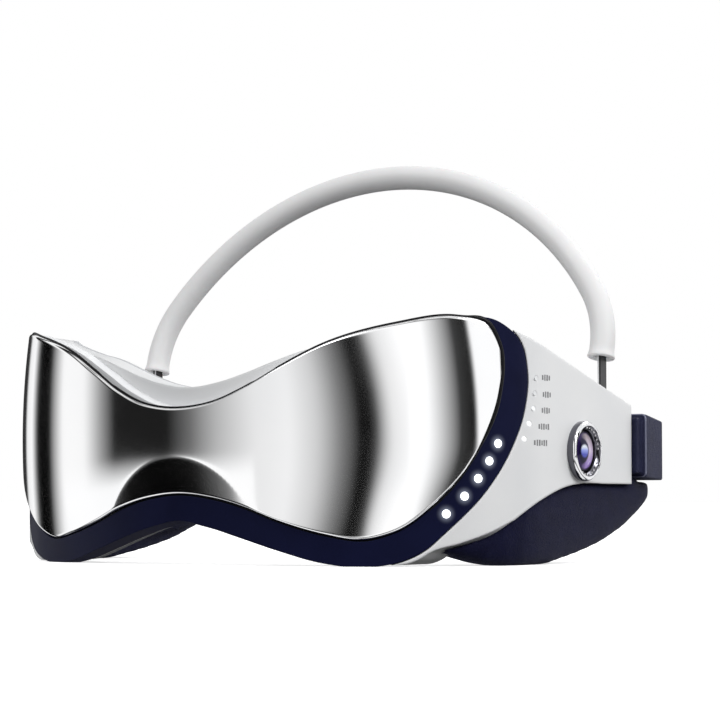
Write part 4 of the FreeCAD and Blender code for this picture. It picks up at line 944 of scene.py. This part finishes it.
def cap_block(side, low, high):
    cap = start(bpy.ops.mesh.primitive_cube_add, "temple_cap_pad_" + side, size=1.0,
                location=(low + high) / 2.0)
    cap.scale = high - low
    settle(cap)
    edit(cap)
    for cut in (COLLAR - COLLAR_SLOPE, COLLAR):
        bpy.ops.mesh.select_all(action="SELECT")
        bpy.ops.mesh.bisect(plane_co=(0, low.y + cut, 0), plane_no=(0, 1, 0))
    leave()
    middle_z = (low.z + high.z) / 2.0
    outer_x = high.x if side == "right" else low.x
    for vertex in cap.data.vertices:
        if vertex.co.y < low.y + COLLAR - COLLAR_SLOPE / 2.0:
            vertex.co.z += math.copysign(COLLAR_STEP, middle_z - vertex.co.z)
            if abs(vertex.co.x - outer_x) < NEAR_SIDE:
                vertex.co.x -= math.copysign(COLLAR_STEP, outer_x)
        share = max((vertex.co.y - low.y - COLLAR) / (high.y - low.y - COLLAR), 0.0)
        vertex.co.z += -TOP_DROP * share if vertex.co.z > middle_z else FOOT_LIFT * (1.0 - share)
    rounded = cap.modifiers.new("rounded", "BEVEL")
    rounded.width = CAP_ROUND
    rounded.segments = 4
    rounded.limit_method = "ANGLE"
    rounded.angle_limit = math.radians(25.0)
    subdivide(cap, 2, "SIMPLE")
    calm(cap, 4)
    settle(cap)
    smooth(cap)
    return cap


# %% Piping of a temple cap
PIPING, PIPING_CORNER, PIPING_INSET, PIPING_BACK = 0.00042, 0.0012, 0.0008, 0.0004


def cap_bead(side, low, high):
    line = start(bpy.ops.mesh.primitive_plane_add, "temple_cap_piping_" + side, size=1.0,
                 rotation=(math.pi / 2.0, 0, 0), location=(
                     (low.x + high.x) / 2.0, low.y + COLLAR + PIPING_BACK,
                     (low.z + high.z) / 2.0 + FOOT_LIFT / 2.0))
    line.scale = (high.x - low.x - PIPING_INSET, high.z - low.z - FOOT_LIFT - PIPING_INSET, 1.0)
    settle(line)
    edit(line)
    bpy.ops.mesh.bevel(affect="VERTICES", offset=PIPING_CORNER, segments=5)
    bpy.ops.mesh.select_all(action="SELECT")
    bpy.ops.mesh.delete(type="ONLY_FACE")
    leave()
    return bead_of(line, PIPING, 3)


# %% Both temple caps
for side in ("left", "right"):
    low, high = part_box("temple_cap_" + side)
    cap = cap_block(side, low, high)
    hand_over(cap, leather, "cushion_navy", "mask", "temple_cap_" + side)
    hand_over(cap_bead(side, low, high), piping_painted_highlight, "cushion_navy", "mask")

# %% [markdown]
# ## Head band tube
# A silicone tube runs over the spring strip in a three-centred arch. A circle is spun round the middle of the
# top arc, then round the middle of the side arc, and its end is extruded down as a short straight leg with a
# flared lip. A mirror gives the other half, and the whole arch is tipped back over the upright strip.

# %% Half of the tube
BAND_Y = 116.0 + Y_SHIFT
HALF_SPAN, RISE, SIDE_RADIUS, TUBE_END, LEG, TUBE_RADIUS = 97.5, 69.5, 38.0, 71.0, 4.0, 4.4
# Each step of the lip goes down by so many millimetres and widens or narrows by so much
LIP = ((1.2, 1.0), (1.2, 1.05), (0.9, 1.05), (0.35, 1.0), (0.25, 0.96), (0.1, 0.9), (0.0, 0.8), (-0.6, 0.75))
rise_gap, span_gap = RISE - SIDE_RADIUS, HALF_SPAN - SIDE_RADIUS
drop = (span_gap ** 2 - rise_gap ** 2) / (2.0 * rise_gap)
top_radius = RISE + drop
arch_angle = math.atan2(span_gap, drop)
top_centre = Vector((0, BAND_Y, TUBE_END + LEG - drop)) * MM
side_centre = Vector((span_gap, BAND_Y, TUBE_END + LEG)) * MM
leg_end = Vector((HALF_SPAN, BAND_Y, TUBE_END)) * MM
tube = start(bpy.ops.mesh.primitive_circle_add, "head_band_tube", vertices=40, radius=TUBE_RADIUS * MM,
             rotation=(0, math.pi / 2.0, 0), location=top_centre + Vector((0, 0, top_radius * MM)))
settle(tube)
edit(tube)
bpy.ops.mesh.spin(steps=30, angle=-arch_angle, center=top_centre, axis=(0, 1, 0))
bpy.ops.mesh.spin(steps=24, angle=arch_angle - math.pi / 2.0, center=side_centre, axis=(0, 1, 0))
for down, size in LIP:
    bpy.ops.mesh.extrude_region_move(TRANSFORM_OT_translate={"value": (0, 0, -down * MM)})
    bpy.ops.transform.resize(value=(size, size, 1.0), center_override=leg_end)
leave()
across = [v.co.x for v in tube.data.vertices]
print("tube spans x", round(min(across), 4), round(max(across), 4))

# %% Mirror the tube and tip it back
LEAN, LEAN_START = math.radians(14.0), 73.8
halves = tube.modifiers.new("other_half", "MIRROR")
halves.use_axis[0] = True
halves.merge_threshold = 0.00002
settle(tube)
outward(tube)
for vertex in tube.data.vertices:
    rise = vertex.co.z / MM - LEAN_START
    aside = vertex.co.y / MM - BAND_Y
    vertex.co.y = (BAND_Y + aside * math.cos(LEAN) + rise * math.sin(LEAN)) * MM
    vertex.co.z = (LEAN_START - aside * math.sin(LEAN) + rise * math.cos(LEAN)) * MM
tube.data.update()
smooth(tube, 60.0)
hand_over(tube, silicone, "sleeve_white", "headband", "band_sleeve")

# %% [markdown]
# ## Push button
# The button is a polished ring with a dark domed lens in it, like a small camera. The ring's cross-section is
# drawn as a few edges and spun round the button's axis. Its face is bright and its inner slope is dark steel;
# its side wall is painted dark too, a painted reflection on the chrome, so that finish works by the distance
# from the axis.

# %% Distance from the button's axis, and the ring's finish
DARK_SLOPE, PAINTED_DARK_WALL_RADIUS = 0.0086, 0.01006
ring_low, ring_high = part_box("button_ring")
AXIS = Vector((0, (ring_low.y + ring_high.y) / 2.0, (ring_low.z + ring_high.z) / 2.0))


def off_axis(place):
    centred = vector_calc("SUBTRACT", place, (0, AXIS.y, AXIS.z))
    flat = vector_calc("MULTIPLY", centred, (0, 1, 1))
    return flat, vector_calc("LENGTH", flat)


steel, shader, place = finish("ring_chrome", (0.85, 0.86, 0.88), 0.1, 1.0)
_, radius = off_axis(place)
# The inner slope is dark steel; the dark of the side wall is a painted reflection on the chrome
dark_slope_and_painted_wall = calc("MAXIMUM", calc("LESS_THAN", radius, DARK_SLOPE), calc("GREATER_THAN", radius, PAINTED_DARK_WALL_RADIUS))
polish = tones(noise(place, 200.0), (0.80, 0.81, 0.83), (0.9, 0.9, 0.92))
feed(lay_over(dark_slope_and_painted_wall, polish, (0.14, 0.14, 0.16, 1.0)), shader.inputs["Base Color"])
vary_gloss(shader, noise(place, 900.0), 0.07, 0.15)
print("button axis", [round(v, 4) for v in AXIS])

# %% Button ring
FACE_X = 102.7 * MM
# Each pair is a height above the wing and a distance from the axis, in millimetres
RING_PROFILE = ((-2.2, 7.32), (-2.2, 8.6), (0.0, 8.6), (0.0, 10.0), (0.25, 10.15), (2.0, 10.15), (2.55, 10.0),
                (2.95, 9.6), (3.15, 9.15), (3.2, 8.85), (3.1, 8.65), (2.75, 8.5), (2.55, 8.35), (1.9, 7.7),
                (1.75, 7.45), (1.5, 7.32))
ring = start(bpy.ops.mesh.primitive_plane_add, "button_ring_turned", size=0.001,
             location=AXIS + Vector((FACE_X, 0, 0)))
settle(ring)
edit(ring)
bpy.ops.mesh.merge(type="CENTER")
leave()
first_up, first_out = RING_PROFILE[0]
ring.data.vertices[0].co = Vector((FACE_X + first_up * MM, AXIS.y, AXIS.z + first_out * MM))
edit(ring)
for before, after in zip(RING_PROFILE, RING_PROFILE[1:] + RING_PROFILE[:1]):
    step = ((after[0] - before[0]) * MM, 0, (after[1] - before[1]) * MM)
    bpy.ops.mesh.extrude_region_move(TRANSFORM_OT_translate={"value": step})
bpy.ops.mesh.select_all(action="SELECT")
bpy.ops.mesh.spin(steps=96, angle=2.0 * math.pi, center=AXIS, axis=(1, 0, 0))
leave()
outward(ring)
smooth(ring, 35.0)
hand_over(ring, steel, "ring_chrome", "mask", "button_ring")

# %% [markdown]
# ### Ticks and lens
# The ticks are one little bevelled bar, copied round the ring's inner slope with a gap after every eight. The
# lens keeps its CAD dome. Its coated glass carries a painted blue highlight before the middle and a painted
# rose reflection, a crescent, behind it, laid by the distance to two points near the axis, under a clear coat.

# %% Ticks on the ring
TICKS, TICK_RADIUS, TICK_RISE, TICK_SOFT = 30, 8.05, 2.3, 0.00006
TICK_THICK, TICK_THIN, TICK_BOLD, TICK_LONG = 0.0003, 0.0005, 0.0008, 0.0007
tick_ink = skin("tick_pale", (800.0, (0.65, 0.65, 0.67), (0.85, 0.85, 0.86)), 0.35, metallic=0.3)
ticks = []
for i in range(TICKS):
    if i % 10 in (8, 9):
        continue
    a = 2.0 * math.pi * i / TICKS
    bar = start(bpy.ops.mesh.primitive_cube_add, "tick", size=1.0, rotation=(-a, 0, 0), location=(
        FACE_X + TICK_RISE * MM, AXIS.y + math.sin(a) * TICK_RADIUS * MM,
        AXIS.z + math.cos(a) * TICK_RADIUS * MM))
    bar.scale = (TICK_THICK, TICK_THIN if i % 3 else TICK_BOLD, TICK_LONG)
    ticks.append(bar)
tick_ring = join(ticks, "button_ring_ticks")
soften = tick_ring.modifiers.new("soften", "BEVEL")
soften.width = TICK_SOFT
soften.segments = 2
settle(tick_ring)
hand_over(tick_ring, tick_ink, "ring_chrome", "mask")

# %% Lens finish, with a painted highlight and a painted reflection
LENS_RADIUS, HIGHLIGHT_SPOT_FRONT, REFLECTION_CRESCENT_FRONT = 0.00695, -0.2, -0.45
lens, shader, place = finish("lens_jewel", (0.02, 0.02, 0.08), 0.08, Specular_IOR_Level=0.12,
                             Coat_Weight=0.12, Coat_Roughness=0.02)
flat, radius = off_axis(place)
share = calc("DIVIDE", radius, LENS_RADIUS)
parts = axes_of(flat)
rear_share, up_share = (calc("ADD", calc("DIVIDE", parts[axis], 2.0 * LENS_RADIUS), 0.5) for axis in "YZ")


def from_spot(y_share):
    away = vector_calc("DISTANCE", flat, (0, y_share * LENS_RADIUS, 0))
    return calc("DIVIDE", away, LENS_RADIUS)


glassy = ramp(share, ((0.0, (0.02, 0.016, 0.08)), (0.6, (0.006, 0.004, 0.03)),
                      (0.86, (0.03, 0.015, 0.09)), (0.93, (0.005, 0.004, 0.014)),
                      (1.0, (0.003, 0.003, 0.008))))
# The rose crescent is a painted reflection on the coated glass, laid by position
painted_crescent_reflection = calc("MULTIPLY", ramp(from_spot(REFLECTION_CRESCENT_FRONT), ((0.6, 0.0), (0.7, 1.0))),
                ramp(share, ((0.8, 1.0), (0.9, 0.0))))
painted_crescent_reflection = calc("MULTIPLY", painted_crescent_reflection, ramp(rear_share, ((0.3, 0.0), (0.55, 1.0))))
painted_rose_reflection = ramp(up_share, ((0.2, (0.42, 0.28, 0.72)), (0.5, (0.72, 0.60, 0.82)), (0.85, (0.40, 0.34, 0.37))))
# The blue spot before the lens's middle is a painted highlight
spot = ramp(from_spot(HIGHLIGHT_SPOT_FRONT), ((0.26, 1.0), (0.36, 0.0)))
painted_blue_highlight = ramp(up_share, ((0.42, (0.09, 0.11, 0.55)), (0.52, (0.35, 0.42, 0.9)), (0.6, (0.85, 0.9, 1.0))))
glass_with_painted_reflections = lay_over(spot, lay_over(painted_crescent_reflection, glassy, painted_rose_reflection), painted_blue_highlight)
feed(glass_with_painted_reflections, shader.inputs["Base Color"])
vary_gloss(shader, noise(place, 600.0), 0.05, 0.1)
dress(lens, "button_lens")
print("lens radius", LENS_RADIUS)

# %% [markdown]
# ## Marks beside the mode lamps
# Small grey marks stand beside the lamps on the right wing. They are printed, so they are modelled as thin
# bars that lie on the wing, four to six in a row, and turn with it where the wing begins to curve.

# %% Printed marks
print_grey = skin("print_grey", (900.0, (0.16, 0.16, 0.17), (0.28, 0.28, 0.29)), 0.6)
# Each row starts at this place along the wing and this height, and has so many bars
MARKS = ((64.5, 62.2, 4), (65.0, 56.6, 4), (64.3, 51.3, 4), (62.2, 45.9, 5), (59.4, 40.5, 6))
BAR_PITCH, BAR_WIDE, BAR_TALL, BAR_THICK = 1.5, 0.95, 2.0, 0.00008
WING_INSET, BAR_LIFT, NARROW = 0.8, 0.01, 0.8
bars = []
for y0, z0, count in MARKS:
    for k in range(count):
        y = y0 + k * BAR_PITCH
        face, turn = HALF_WIDTH - WING_INSET, 0.0
        if y < CORNER_Y:
            turn = math.asin((CORNER_Y - y) / (CORNER_RADIUS - WING_INSET))
            face = CORNER_X + (CORNER_RADIUS - WING_INSET) * math.cos(turn)
        bar = start(bpy.ops.mesh.primitive_cube_add, "bar", size=1.0, rotation=(0, 0, -turn), location=(
            (face + BAR_LIFT) * MM, (y + Y_SHIFT) * MM, z0 * MM))
        bar.scale = (BAR_THICK, BAR_WIDE * MM * (NARROW if k % 2 else 1.0),
                     BAR_TALL * MM * (1.0 if k % 3 else NARROW))
        bars.append(bar)
marks = join(bars, "mode_marks")
settle(marks)
hand_over(marks, print_grey, "chip_black", "mask")
